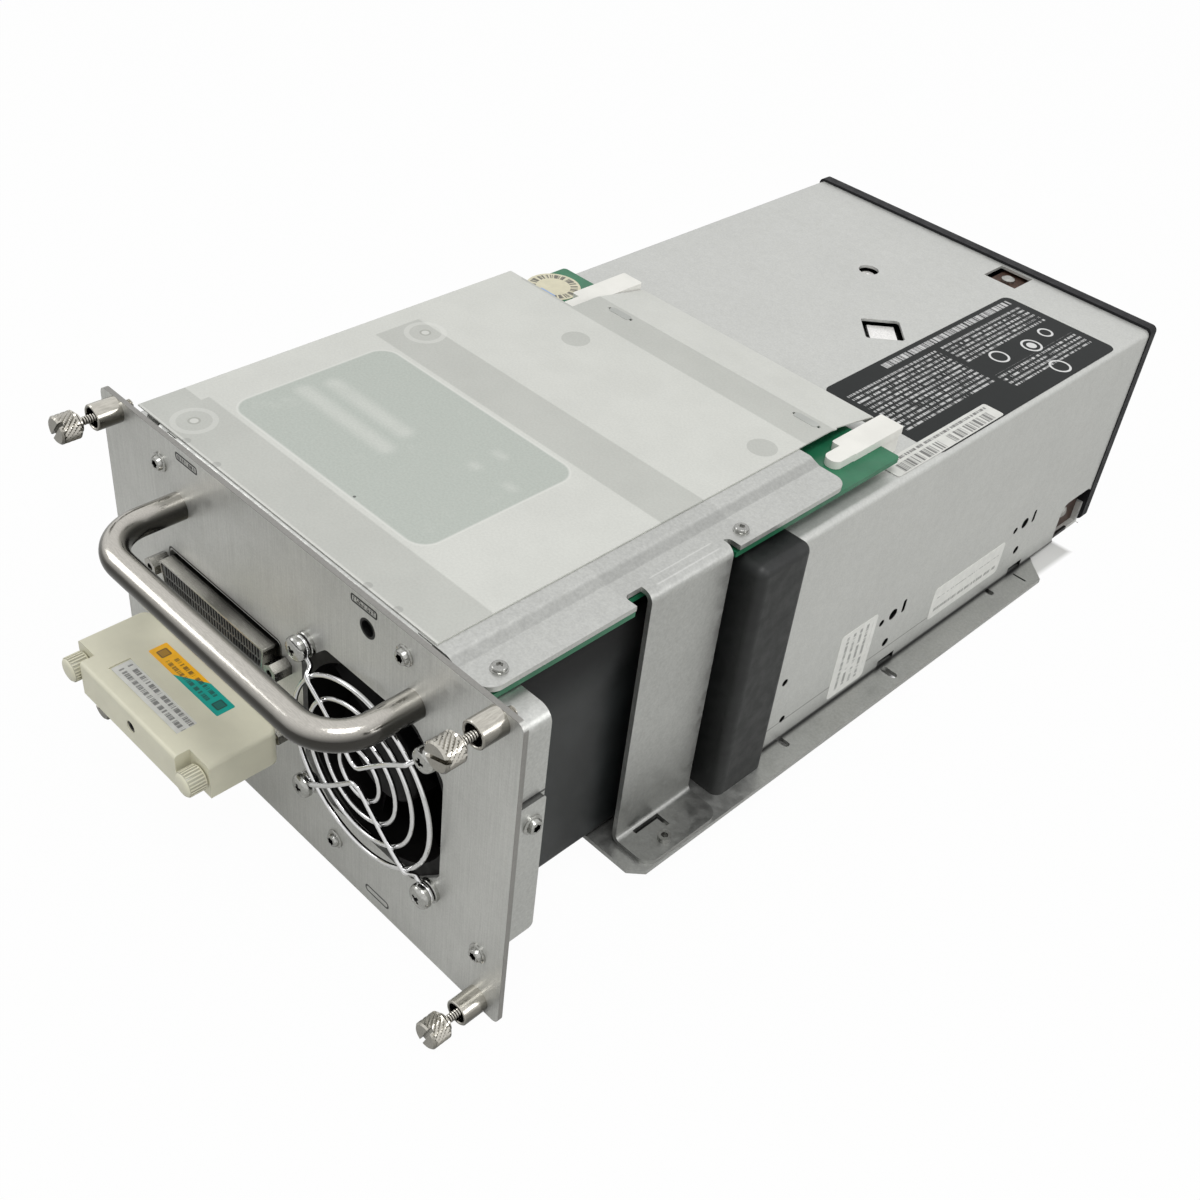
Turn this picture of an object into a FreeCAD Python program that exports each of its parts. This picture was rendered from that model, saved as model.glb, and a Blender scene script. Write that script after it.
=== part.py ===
import FreeCAD, Part
import math
import os

V = FreeCAD.Vector

# A full-height tape drive on its library sled. Millimetres, +Z up.
# It is drawn from the lower edge of the sled panel's front face, and moved at the
# end so that its origin is the middle of the four captive screws, on the panel's back.
# +X is to the right when facing the panel, +Y runs from the panel to the bezel.

# ---------------------------------------------------------------- driving sizes
SHEET = 1.5              # sled sheet metal
BEND = 2.4               # centreline radius of its bends
FIT = 0.05               # radial play of a running shaft
PLAY = 0.3               # gap round a moving or slid-in piece

DRIVE_WIDTH = 146.0
DRIVE_HEIGHT = 82.5
DRIVE_LENGTH = 203.0
DRIVE_SKIN = 1.0         # cover sheet
DRIVE_START = 103.8      # from the panel's face to the drive's rear end

TRAY_DROP = 15.5         # tray's upper face above the panel's bottom edge
TRAY_LIP = 9.5           # how far the tray stands out past the drive
TRAY_START = 52.5
TRAY_END = 270.0

BOARD_LIFT = 4.0         # controller board above the drive
BOARD_THICK = 1.6
BOARD_INSET = 3.8        # board's long edge inside the drive's side
BOARD_START = 5.0
BOARD_END = 161.3
SPACER = 1.1
FILM_THICK = 0.4
CLIP_WIDTH = 8.4

PANEL_RIM = 2.4          # panel past the tray on each side
PANEL_TOP_RIM = 0.9      # panel above the film
PANEL_CORNER = 2.5

LEG_START = 57.0
LEG_WIDTH = 30.5
LEG_INSET = 3.4          # leg's outer face inside the drive's side
BRACKET_END = 135.0
JOGGLE = 1.4             # step from the bracket's flange up to its middle

HANDLE_TUBE = 8.0
HANDLE_SPAN = 98.0
HANDLE_REACH = 25.0      # panel to the bar's centreline
HANDLE_BEND = 13.0
HANDLE_DROP = 19.7       # below the panel's top edge

SCREW_THREAD = 3.0       # captive screws
SCREW_SHANK = 2.4
FERRULE_D = 7.5
FERRULE_LENGTH = 7.5
THUMB_D = 8.0
THUMB_LENGTH = 6.0
THUMB_GAP = 4.5          # head to ferrule when backed out
THREAD_OUT = 3.0         # thread tip behind the panel when backed out

FAN_SIZE = 60.0
FAN_DEPTH = 25.0
FAN_SCREW_INSET = 5.0    # screws inside the fan's edges
FAN_INSET = 7.6          # fan's edge inside the bracket leg
FAN_Z = 54.0
FAN_HUB = 26.0
FAN_BLADES = 7
FAN_TIP_GAP = 0.7
GUARD_WIRE = 1.6
WASHERS = 1.2            # under the guard's eyes
GUARD_RINGS = 4
GUARD_PITCH = 6.5        # ring to ring

PORT_INSET = 42.0        # ports' middle inside the drive's side
PORT_Z_UPPER = 64.5
PORT_Z_LOWER = 41.5
PORT_WIDTH = 49.0
PORT_HEIGHT = 9.5
PORT_PROUD = 4.5
PORT_SKIN = 0.6
JACK_PITCH = 56.31
JACK_AF = 5.0
JACK_BORE = 1.17

TERM_WIDTH = 64.0
TERM_HEIGHT = 11.5
TERM_END = 32.3          # outer end of the terminator from the panel's face
TERM_SHOULDER = 27.8
TERM_HEAD = 7.6

DUCT_WALL = 1.2
COLLAR_WALL = 4.0
COLLAR_START = 92.0
COLLAR_GRIP = 9.7        # how far the collar reaches over the drive

BEZEL_THICK = 5.0
BEZEL_PROUD = 0.4
SLOT_WIDTH = 105.0       # cartridge slot
SLOT_HEIGHT = 24.0
SLOT_RISE = 43.5         # slot's lower edge above the drive's bottom
DOOR_THICK = 1.6
CARRIER_DEPTH = 76.0
CARRIER_BACK = 30.0      # carrier's front edge inside the bezel, clear of the open door
CARRIER_DROP = 5.0
CARRIER_WALL = 1.4

REEL_D = 84.0
REEL_GAP = 6.0           # reel to carrier
REEL_WIDTH = 16.0
ROLLER_D = 9.0

# ---------------------------------------------------------------- derived places
half_drive = DRIVE_WIDTH / 2
drive_end = DRIVE_START + DRIVE_LENGTH
drive_bottom = TRAY_DROP
drive_top = drive_bottom + DRIVE_HEIGHT
half_tray = half_drive + TRAY_LIP
half_panel = half_tray + PANEL_RIM
board_z = drive_top + BOARD_LIFT
board_top = board_z + BOARD_THICK
half_board = half_drive - BOARD_INSET
flange_z = board_top + SPACER            # underside of the bracket's flange
flange_top = flange_z + SHEET
plate_top = flange_top + JOGGLE
film_z = plate_top
panel_height = film_z + FILM_THICK + PANEL_TOP_RIM
panel_back = SHEET
leg_x = half_drive - LEG_INSET           # leg's outer face
leg_end = LEG_START + LEG_WIDTH
FAN_X = leg_x - FAN_INSET - FAN_SIZE / 2
fan_pitch = FAN_SIZE - 2 * FAN_SCREW_INSET
PORT_X = PORT_INSET - half_drive
handle_z = panel_height - HANDLE_DROP
handle_x = HANDLE_SPAN / 2
ferrule_x = half_panel - FERRULE_D - 0.4
ferrule_low = FERRULE_D / 2
ferrule_high = panel_height - FERRULE_D / 2
bezel_back = drive_end
bezel_front = drive_end + BEZEL_THICK
slot_z = drive_bottom + SLOT_RISE
slot_top = slot_z + SLOT_HEIGHT
deck_z = slot_z - 11.0                   # upper face of the cast deck
inner_rear = DRIVE_START + 2.0
carrier_start = drive_end - CARRIER_BACK - CARRIER_DEPTH
reel_y = carrier_start - REEL_GAP - REEL_D / 2
clutch_y = carrier_start + CARRIER_DEPTH / 2 + 6.0
half_carrier = SLOT_WIDTH / 2 - 0.5      # inside the carrier's walls
SIDE_HOLES_Y = (drive_end - 49.8, drive_end - 129.1)
nose_low = plate_top - 12.8              # lower edge of the bracket's front flange
BRACKET_SCREWS = ((-56.8, panel_height - 9.8), (45.2, panel_height - 7.2))
DUCT_SCREW = (FAN_X - 15.2, 13.3)
CLIP_PLACES = (21.0 - half_drive, half_drive - 19.0)     # left edges of the two board clips
FLANGE_SCREWS = ((half_panel - 9.1, 21.5), (9.1 - half_panel, 21.5))
STRAP_SCREW = (9.5, 68.0)                # across the strap, from the panel and from below
FLANGE_THICK = 1.2
flange_x = half_panel - 5.0              # outer face of the side flanges


# ---------------------------------------------------------------- shape helpers
def box(x0, x1, y0, y1, z0, z1):
    return Part.makeBox(x1 - x0, y1 - y0, z1 - z0, V(x0, y0, z0))


def rod(x, y, z, axis, radius, length):
    return Part.makeCylinder(radius, length, V(x, y, z), axis)


X, Y, Z = V(1, 0, 0), V(0, 1, 0), V(0, 0, 1)


def ring(x, y, z, axis, outer, inner, length):
    return rod(x, y, z, axis, outer, length).cut(rod(x, y, z, axis, inner, length))


def along(shape, axis):
    """The straight edges of a shape that run along an axis."""
    picked = []
    for edge in shape.Edges:
        if len(edge.Vertexes) == 2:
            run = edge.Vertexes[1].Point - edge.Vertexes[0].Point
            if run.Length > 1e-6 and abs(abs(run.normalize().dot(axis)) - 1) < 1e-6:
                picked.append(edge)
    return picked


def rounded(shape, axis, radius):
    return shape.makeFillet(radius, along(shape, axis))


def plate(points, thickness, lift):
    """An XY outline, extruded up from a height."""
    corners = [V(x, y, lift) for x, y in points]
    return Part.Face(Part.makePolygon(corners + corners[:1])).extrude(V(0, 0, thickness))


def slot_y(x, z, length, height, y0, y1):
    """A round-ended slot along X, cut through in Y."""
    body = box(x - length / 2, x + length / 2, y0, y1, z - height / 2, z + height / 2)
    return rounded(body, Y, height * 0.49)


def bent_path(points, bend):
    """Straight runs joined by arcs: a list of (kind, points)."""
    runs, start = [], points[0]
    for before, corner, after in zip(points, points[1:], points[2:]):
        back = (before - corner).normalize()
        ahead = (after - corner).normalize()
        half = back.getAngle(ahead) / 2
        reach = bend / math.tan(half)
        first, last = corner + back * reach, corner + ahead * reach
        centre = corner + (back + ahead).normalize() * (bend / math.sin(half))
        middle = centre + (corner - centre).normalize() * bend
        runs += [("line", (start, first)), ("arc", (first, middle, last, centre))]
        start = last
    return runs + [("line", (start, points[-1]))]


def bent_rod(points, radius, bend):
    """Round wire or tube bent along a path."""
    edges = []
    for kind, places in bent_path(points, bend):
        if kind == "line":
            edges.append(Part.makeLine(*places))
        else:
            edges.append(Part.Arc(*places[:3]).toShape())
    spine = Part.Wire(edges)
    section = Part.Wire(Part.makeCircle(radius, points[0], points[1] - points[0]))
    return spine.makePipeShell([section], True, False)


def bent_sheet(points, thickness, bend, sweep):
    """Sheet metal bent along a centreline, extruded along sweep."""
    normal = sweep.normalize() if sweep.Length == 1 else V(sweep).normalize()
    sides = {1: [], -1: []}
    for kind, places in bent_path(points, bend):
        for side in sides:
            shift = side * thickness / 2
            if kind == "line":
                across = (places[1] - places[0]).normalize().cross(normal) * shift
                sides[side].append(Part.makeLine(places[0] + across, places[1] + across))
            else:
                first, middle, last, centre = places
                turn = (middle - first).cross(last - middle).dot(normal)
                grown = bend + (shift if turn > 0 else -shift)
                moved = [centre + (p - centre).normalize() * grown for p in (first, middle, last)]
                sides[side].append(Part.Arc(*moved).toShape())
    ends = [Part.makeLine(sides[1][i].Vertexes[v].Point, sides[-1][i].Vertexes[v].Point)
            for i, v in ((0, 0), (-1, -1))]
    wire = Part.Wire(Part.__sortEdges__(sides[1] + ends + sides[-1]))
    return Part.Face(wire).extrude(sweep)


def mirrored(shape):
    return shape.mirror(V(0, 0, 0), X)


def together(shapes):
    """Separate solids kept side by side in one node."""
    return Part.makeCompound(shapes)


def button_screw(x, y, z, axis, head_radius, head_height, shank_radius, shank_length):
    """A button-head screw, its head seated at the given point."""
    rim = head_height * 0.4
    head = rod(x, y, z, axis, head_radius, head_height - rim)
    dome = Part.makeCone(head_radius, head_radius * 0.6, rim, V(x, y, z) + axis * (head_height - rim), axis)
    shank = rod(x, y, z, axis * -1, shank_radius, shank_length)
    return head.fuse([dome, shank])


def countersunk_screw(x, y, z, axis, shank_radius, shank_length):
    """A flat-head screw, its head flush with the surface at the given point."""
    head = Part.makeCone(shank_radius * 1.85, shank_radius, shank_radius * 0.8, V(x, y, z), axis)
    return head.fuse(rod(x, y, z, axis, shank_radius, shank_length))


# ---------------------------------------------------------------- front panel
def fan_cutout(depth):
    """Square hole with cut corners, leaving metal under each fan screw."""
    half, chamfer = FAN_SIZE / 2 - 2.0, 10.5
    corners = [(-half, -half + chamfer), (-half + chamfer, -half), (half - chamfer, -half),
               (half, -half + chamfer), (half, half - chamfer), (half - chamfer, half),
               (-half + chamfer, half), (-half, half - chamfer)]
    places = [V(FAN_X + a, -1, FAN_Z + b) for a, b in corners]
    hole = Part.Face(Part.makePolygon(places + places[:1])).extrude(V(0, depth + 2, 0))
    return rounded(hole, Y, 3.0)


def fan_corners():
    step = fan_pitch / 2
    return [(FAN_X + a, FAN_Z + b) for a in (-step, step) for b in (-step, step)]


def ferrule_places():
    return {"top_left": (-ferrule_x, ferrule_high), "top_right": (ferrule_x, ferrule_high),
            "bottom_left": (-ferrule_x, ferrule_low), "bottom_right": (ferrule_x, ferrule_low)}


def front_panel():
    body = box(-half_panel, half_panel, 0, SHEET, 0, panel_height)
    body = rounded(body, Y, PANEL_CORNER)
    cuts = [fan_cutout(SHEET)]
    for x, z in ferrule_places().values():
        cuts.append(rod(x, -1, z, Y, SCREW_THREAD / 2 + PLAY, SHEET + 2))
    for x, z in fan_corners():
        cuts.append(rod(x, -1, z, Y, 2.1, SHEET + 2))
    for x, z in BRACKET_SCREWS + FLANGE_SCREWS + (DUCT_SCREW,):
        cuts.append(rod(x, -1, z, Y, 1.6, SHEET + 2))
    for z in (PORT_Z_UPPER, PORT_Z_LOWER):
        cuts.append(rounded(box(PORT_X - PORT_WIDTH / 2 - 1.2, PORT_X + PORT_WIDTH / 2 + 1.2, -1, SHEET + 1,
                                z - PORT_HEIGHT / 2 - 1.0, z + PORT_HEIGHT / 2 + 1.0), Y, 1.5))
        for side in (-1, 1):
            cuts.append(rod(PORT_X + side * JACK_PITCH / 2, -1, z, Y, 1.7, SHEET + 2))
    cuts.append(rod(31.3, -1, panel_height - 8.6, Y, 2.2, SHEET + 2))
    for side in (-1, 1):
        cuts.append(rod(side * handle_x, -1, handle_z, Y, 2.1, SHEET + 2))
    return body.cut(cuts)


def side_flange():
    """Angle behind the panel, at the right-hand edge, its upper end bent over under the board."""
    depth, inner = 14.0, leg_x - 5.1
    middle = FLANGE_THICK / 2
    top = board_z - 0.4
    path = [V(inner - 3.0, 0, top - middle), V(flange_x - middle, 0, top - middle),
            V(flange_x - middle, 0, 8.0)]
    body = bent_sheet(path, FLANGE_THICK, 3.4, V(0, depth - panel_back, 0)).translate(V(0, panel_back, 0))
    tab = box(inner, flange_x - 0.5, panel_back, panel_back + FLANGE_THICK, 8.0, 33.0)
    low = box(flange_x - 4.0, flange_x + 1, panel_back + FLANGE_THICK + 1.5, depth + 1, 0, 26.5)
    x, z = FLANGE_SCREWS[0]
    hole = rod(x, 0, z, Y, 1.6, 6)
    shank = rod(half_board - 3.6, 10.3, top - 5, Z, 3.2, 8)
    strap_hole = rod(flange_x - 3, *STRAP_SCREW, X, 1.6, 6)
    return body.cut(low).fuse(tab).cut([hole, strap_hole, shank]).removeSplitter()


def clamp_plate():
    """Outer strap over the lower half of the side flange."""
    strap = box(flange_x, flange_x + FLANGE_THICK, panel_back + 1.0, 13.5, 26.5, 75.7)
    strap = rounded(strap, X, 1.5)
    return strap.cut(rod(flange_x - 1, *STRAP_SCREW, X, 1.6, 4))


def handle():
    start = V(-handle_x, 0, handle_z)
    points = [start, start + V(0, -HANDLE_REACH, 0), V(handle_x, -HANDLE_REACH, handle_z),
              V(handle_x, 0, handle_z)]
    tube = bent_rod(points, HANDLE_TUBE / 2, HANDLE_BEND)
    threads = [rod(side * handle_x, -9.0, handle_z, Y, 1.5, 9.0) for side in (-1, 1)]
    return tube.cut(threads)


def handle_screws():
    return together([button_screw(side * handle_x, panel_back, handle_z, Y, 3.2, 2.0, 1.5, panel_back + 8.5)
                     for side in (-1, 1)])


def screw_ferrules():
    """Threaded-in sleeves with an inner lip that holds the captive screws."""
    made = []
    for x, z in ferrule_places().values():
        body = rod(x, -FERRULE_LENGTH, z, Y, FERRULE_D / 2, FERRULE_LENGTH)
        mouth = rod(x, -FERRULE_LENGTH, z, Y, FERRULE_D / 2 - 0.9, FERRULE_LENGTH - 1.6)
        throat = rod(x, -2, z, Y, SCREW_SHANK / 2 + FIT, 3)
        made.append(body.cut([mouth, throat]))
    return together(made)


def thumbscrew(x, z):
    """Slotted captive screw, backed out of its ferrule: its thread is wider than the ferrule's throat."""
    head_back = -FERRULE_LENGTH - THUMB_GAP
    head = rod(x, head_back - THUMB_LENGTH, z, Y, THUMB_D / 2, THUMB_LENGTH)
    head = head.makeChamfer(0.5, [e for e in head.Edges if e.Length > THUMB_D * 3])
    slot = box(x - THUMB_D, x + THUMB_D, head_back - THUMB_LENGTH - 1, head_back - THUMB_LENGTH + 1.3,
               z - 0.6, z + 0.6)
    neck = rod(x, head_back, z, Y, THUMB_D / 2 - 1.4, 0.8)
    shank = rod(x, head_back, z, Y, SCREW_SHANK / 2, panel_back - head_back)
    thread = rod(x, panel_back, z, Y, SCREW_THREAD / 2, THREAD_OUT)
    return head.cut(slot).fuse([neck, shank, thread])


def panel_screws():
    places = BRACKET_SCREWS + FLANGE_SCREWS + (DUCT_SCREW,)
    made = [button_screw(x, 0, z, Y * -1, 2.9, 1.9, 1.5, 4.2) for x, z in places]
    strap = button_screw(flange_x + FLANGE_THICK, *STRAP_SCREW, X, 2.9, 1.7, 1.5, 4.0)
    return together(made + [strap, mirrored(strap)])


# ---------------------------------------------------------------- fan
fan_front = panel_back
fan_back = fan_front + FAN_DEPTH
fan_bore = FAN_SIZE / 2 - 1.4


def fan_frame():
    half, lip, wall = FAN_SIZE / 2, 3.0, 1.6
    square = box(FAN_X - half, FAN_X + half, fan_front, fan_back, FAN_Z - half, FAN_Z + half)
    square = rounded(square, Y, 3.0)
    waist = ring(FAN_X, fan_front + lip, FAN_Z, Y, FAN_SIZE, fan_bore + wall, FAN_DEPTH - 2 * lip)
    body = square.cut([waist, rod(FAN_X, fan_front, FAN_Z, Y, fan_bore, FAN_DEPTH)])
    body = body.cut([rod(x, fan_front, z, Y, 2.1, FAN_DEPTH) for x, z in fan_corners()])
    base = rod(FAN_X, fan_back - 2.0, FAN_Z, Y, FAN_HUB / 2, 2.0)
    boss = rod(FAN_X, fan_front + 9.0, FAN_Z, Y, 4.0, FAN_DEPTH - 9.0)
    struts = []
    for angle in (45, 135, 225, 315):
        strut = box(FAN_X + FAN_HUB / 2 - 1, FAN_X + fan_bore + 0.8, fan_back - 2.0, fan_back,
                    FAN_Z - 1.4, FAN_Z + 1.4)
        struts.append(strut.rotate(V(FAN_X, 0, FAN_Z), Y, angle))
    bore = rod(FAN_X, fan_front, FAN_Z, Y, 1.5 + FIT, FAN_DEPTH - 1.0)
    return body.fuse([base, boss] + struts).cut(bore)


def fan_stator():
    coils = ring(FAN_X, fan_front + 10.0, FAN_Z, Y, 9.5, 4.0, 9.0)
    gaps = [box(FAN_X + 5.0, FAN_X + 10.0, fan_front, fan_back, FAN_Z - 0.9, FAN_Z + 0.9)
            .rotate(V(FAN_X, 0, FAN_Z), Y, angle) for angle in (45, 135, 225, 315)]
    return coils.cut(gaps)


def blade_section(radius, chord, pitch, thickness):
    """Thin curved blade section in a plane square to the radius."""
    lean = math.radians(pitch)
    middle = fan_front + FAN_DEPTH * 0.46
    outline = []
    for along_chord, bulge in ((-0.5, 0.0), (0.0, 0.1), (0.5, 0.0), (0.0, 0.1)):
        side = -thickness / 2 if len(outline) == 3 else thickness / 2
        across = bulge * chord + (side if along_chord == 0.0 else 0.0)
        reach = along_chord * chord
        outline.append(V(FAN_X + reach * math.cos(lean) - across * math.sin(lean),
                         middle + reach * math.sin(lean) + across * math.cos(lean), FAN_Z + radius))
    return Part.makePolygon(outline + outline[:1])


def fan_rotor():
    hub = rod(FAN_X, fan_front + 2.5, FAN_Z, Y, FAN_HUB / 2, FAN_DEPTH - 5.5)
    front = [e for e in hub.Edges if e.CenterOfMass.y < fan_front + 3.0]
    hub = hub.makeFillet(2.0, front)
    hub = hub.cut(rod(FAN_X, fan_front + 5.0, FAN_Z, Y, FAN_HUB / 2 - 1.5, FAN_DEPTH))
    shaft = rod(FAN_X, fan_front + 4.0, FAN_Z, Y, 1.5, FAN_DEPTH - 6.5)
    blade = Part.makeLoft([blade_section(FAN_HUB / 2 - 0.8, 12.0, 52.0, 1.8),
                           blade_section(fan_bore, 17.0, 32.0, 1.2)], True, True)
    blade = blade.common(rod(FAN_X, fan_front, FAN_Z, Y, fan_bore - FAN_TIP_GAP, FAN_DEPTH))
    blades = [blade.copy().rotate(V(FAN_X, 0, FAN_Z), Y, i * 360.0 / FAN_BLADES) for i in range(FAN_BLADES)]
    return hub.fuse([shaft] + blades)


def wire_ring(radius, wire, centre):
    """A wire bent to a full circle round Y, its section eight-sided."""
    section = []
    for i in range(8):
        turn = math.radians(45 * i + 22.5)
        section.append(centre + V(radius + wire * math.cos(turn), wire * math.sin(turn), 0))
    return Part.Face(Part.makePolygon(section + section[:1])).revolve(centre, Y, 360)


eye_y = -WASHERS - GUARD_WIRE / 2        # middle of the guard's eyes
spoke_y = eye_y - 2.6
EYE_RADIUS = 2.6


def guard_spoke(side):
    """Wire from one screw to the next, bent at the hub and stepped down to its two eyes."""
    step = fan_pitch / 2

    def place(share, y, a):
        return V(FAN_X + a * share * step, y, FAN_Z + side * share * step)

    eye = 1 - EYE_RADIUS * 0.75 / step
    points = [place(eye, eye_y, -1), place(eye - 0.05, eye_y, -1), place(eye - 0.16, spoke_y, -1),
              V(FAN_X, spoke_y, FAN_Z + side * 3.0),
              place(eye - 0.16, spoke_y, 1), place(eye - 0.05, eye_y, 1), place(eye, eye_y, 1)]
    return bent_rod(points, GUARD_WIRE / 2, 1.0)


def fan_guard():
    """Wire rings carried on two bent wires that end in eyes round the screws."""
    wire = GUARD_WIRE / 2
    ring_y = spoke_y + GUARD_WIRE * 0.85
    outermost = fan_bore - 1.1
    made = [wire_ring(outermost - i * GUARD_PITCH, wire, V(FAN_X, ring_y, FAN_Z)) for i in range(GUARD_RINGS)]
    made += [wire_ring(EYE_RADIUS, wire, V(x, eye_y, z)) for x, z in fan_corners()]
    made += [guard_spoke(side) for side in (-1, 1)]
    return made[0].fuse(made[1:])


def fan_screws():
    """Cross-head screws on washers that clamp the guard's eyes."""
    made = []
    seat = eye_y - GUARD_WIRE / 2
    for x, z in fan_corners():
        made.append(ring(x, -WASHERS, z, Y, 3.6, 2.0, WASHERS))
        made.append(button_screw(x, seat, z, Y * -1, 3.6, 2.4, 1.7, 12.0))
    return together(made)


# ---------------------------------------------------------------- ports and terminator
def d_prism(x, z, width, height, y0, y1):
    """D-shaped outline with its long side up, extruded along Y."""
    slope = height * 0.18
    corners = [(-width / 2, height / 2), (width / 2, height / 2),
               (width / 2 - slope, -height / 2), (-width / 2 + slope, -height / 2)]
    places = [V(x + a, y0, z + b) for a, b in corners]
    return rounded(Part.Face(Part.makePolygon(places + places[:1])).extrude(V(0, y1 - y0, 0)), Y, 0.9)


port_board_y = panel_back + 11.0


def scsi_shell(z):
    outer = d_prism(PORT_X, z, PORT_WIDTH, PORT_HEIGHT, -PORT_PROUD, panel_back + 2.0)
    inner = d_prism(PORT_X, z, PORT_WIDTH - 2 * PORT_SKIN, PORT_HEIGHT - 2 * PORT_SKIN, -PORT_PROUD - 1,
                    panel_back + 3.0)
    width = JACK_PITCH / 2 + 3.0
    flange = box(PORT_X - width, PORT_X + width, panel_back, panel_back + 1.0, z - 6.0, z + 6.0)
    holes = [rod(PORT_X + side * JACK_PITCH / 2, 0, z, Y, 1.7, 5) for side in (-1, 1)]
    return outer.fuse(flange).cut([inner] + holes)


def scsi_insert(z):
    """Contact block with its two rows of contact pockets as long grooves."""
    face = d_prism(PORT_X, z, PORT_WIDTH - 2 * PORT_SKIN, PORT_HEIGHT - 2 * PORT_SKIN, 0.8 - PORT_PROUD,
                   panel_back + 1.0)
    base = box(PORT_X - PORT_WIDTH / 2 - 1, PORT_X + PORT_WIDTH / 2 + 1, panel_back + 2.0, port_board_y,
               z - 5.0, z + 5.0)
    neck = d_prism(PORT_X, z, PORT_WIDTH - 2 * PORT_SKIN, PORT_HEIGHT - 2 * PORT_SKIN, panel_back + 1.0,
                   panel_back + 2.0)
    rows = [box(PORT_X - PORT_WIDTH / 2 + 4, PORT_X + PORT_WIDTH / 2 - 4, -PORT_PROUD, 2.0 - PORT_PROUD,
                z + lift - 0.45, z + lift + 0.45) for lift in (-1.5, 1.5)]
    return face.fuse([neck, base]).cut(rows)


def jack_sockets():
    made = []
    for z in (PORT_Z_UPPER, PORT_Z_LOWER):
        for side in (-1, 1):
            x = PORT_X + side * JACK_PITCH / 2
            radius = JACK_AF / math.sqrt(3)
            corners = [V(x + radius * math.sin(a), -5.5, z + radius * math.cos(a))
                       for a in [math.radians(60 * i) for i in range(7)]]
            hexagon = Part.Face(Part.makePolygon(corners)).extrude(V(0, 5.5, 0))
            stem = rod(x, 0, z, Y, 1.5, panel_back + 3.0)
            made.append(hexagon.fuse(stem).cut(rod(x, -5.5, z, Y, JACK_BORE, 6.0)))
    return together(made)


def port_board():
    """Upright board behind the ports, with the header that meets the controller board."""
    low, x0, x1 = PORT_Z_LOWER - 8.5, PORT_X - 35.0, PORT_X + 29.5
    card = box(x0, x1, port_board_y, port_board_y + BOARD_THICK, low, board_z - 2.5)
    header = box(PORT_X - 20, PORT_X + 20, port_board_y + BOARD_THICK, port_board_y + 7.0,
                 board_z - 6.0, board_z)
    return card.fuse(header)


term_front = -PORT_PROUD - 1.3


def terminator_body():
    half = TERM_WIDTH / 2
    x0, x1 = PORT_X - half, PORT_X + half
    z0, z1 = PORT_Z_LOWER - TERM_HEIGHT / 2, PORT_Z_LOWER + TERM_HEIGHT / 2
    body = rounded(box(x0, x1, -TERM_END, term_front, z0, z1), Z, 3.0)
    edges = [e for e in body.Edges if e.CenterOfMass.y < -TERM_END + 4 and abs(e.CenterOfMass.z - z1) < 1e-6]
    body = body.makeFillet(1.2, edges)
    cuts = [box(PORT_X - 16.5, PORT_X + 16.5, -TERM_SHOULDER + 0.3, -20.8, z1 - 0.4, z1 + 1)]
    for side in (-1, 1):
        x = PORT_X + side * JACK_PITCH / 2
        pocket = box(x - 4.9, x + 4.9, -TERM_END - 1, -TERM_SHOULDER, z0 - 1, z1 + 1)
        outer = box(min(x, x + side * 9), max(x, x + side * 9), -TERM_END - 1, -TERM_SHOULDER, z0 - 1, z1 + 1)
        cuts += [pocket, outer, rod(x, -TERM_END, PORT_Z_LOWER, Y, 1.5 + FIT, TERM_END)]
    cuts.append(rod(PORT_X + 1.5, -TERM_END - 1, PORT_Z_LOWER, Y, 1.9, 5.0))
    return body.cut(cuts)


def terminator_plug():
    """Metal collar that goes over the port's shell."""
    gap, skin = PLAY, 0.6
    outer = d_prism(PORT_X, PORT_Z_LOWER, PORT_WIDTH + 2 * (gap + skin), PORT_HEIGHT + 2 * (gap + skin),
                    term_front, -0.6)
    inner = d_prism(PORT_X, PORT_Z_LOWER, PORT_WIDTH + 2 * gap, PORT_HEIGHT + 2 * gap, term_front + 0.8, 0)
    return outer.cut(inner)


def terminator_insert():
    return ring(PORT_X + 1.5, -TERM_END + 0.4, PORT_Z_LOWER, Y, 1.9, 1.2, 3.6)


def terminator_screw(side):
    x = PORT_X + side * JACK_PITCH / 2
    head_back = -TERM_SHOULDER - PLAY
    head = rod(x, head_back - 6.0, PORT_Z_LOWER, Y, TERM_HEAD / 2, 6.0)
    head = head.makeChamfer(0.6, [e for e in head.Edges if e.Length > TERM_HEAD * 3])
    shank = rod(x, head_back, PORT_Z_LOWER, Y, 1.5, -head_back - 6.0)
    tip = rod(x, -6.0, PORT_Z_LOWER, Y, JACK_BORE - FIT, 4.5)
    return head.fuse([shank, tip])


# ---------------------------------------------------------------- bracket, board, film
crown_half = half_drive - 17.0           # half width of the bracket's raised middle
WINDOW = (15.0 - half_drive, half_drive - 50.0, 22.5, 78.0)


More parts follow.
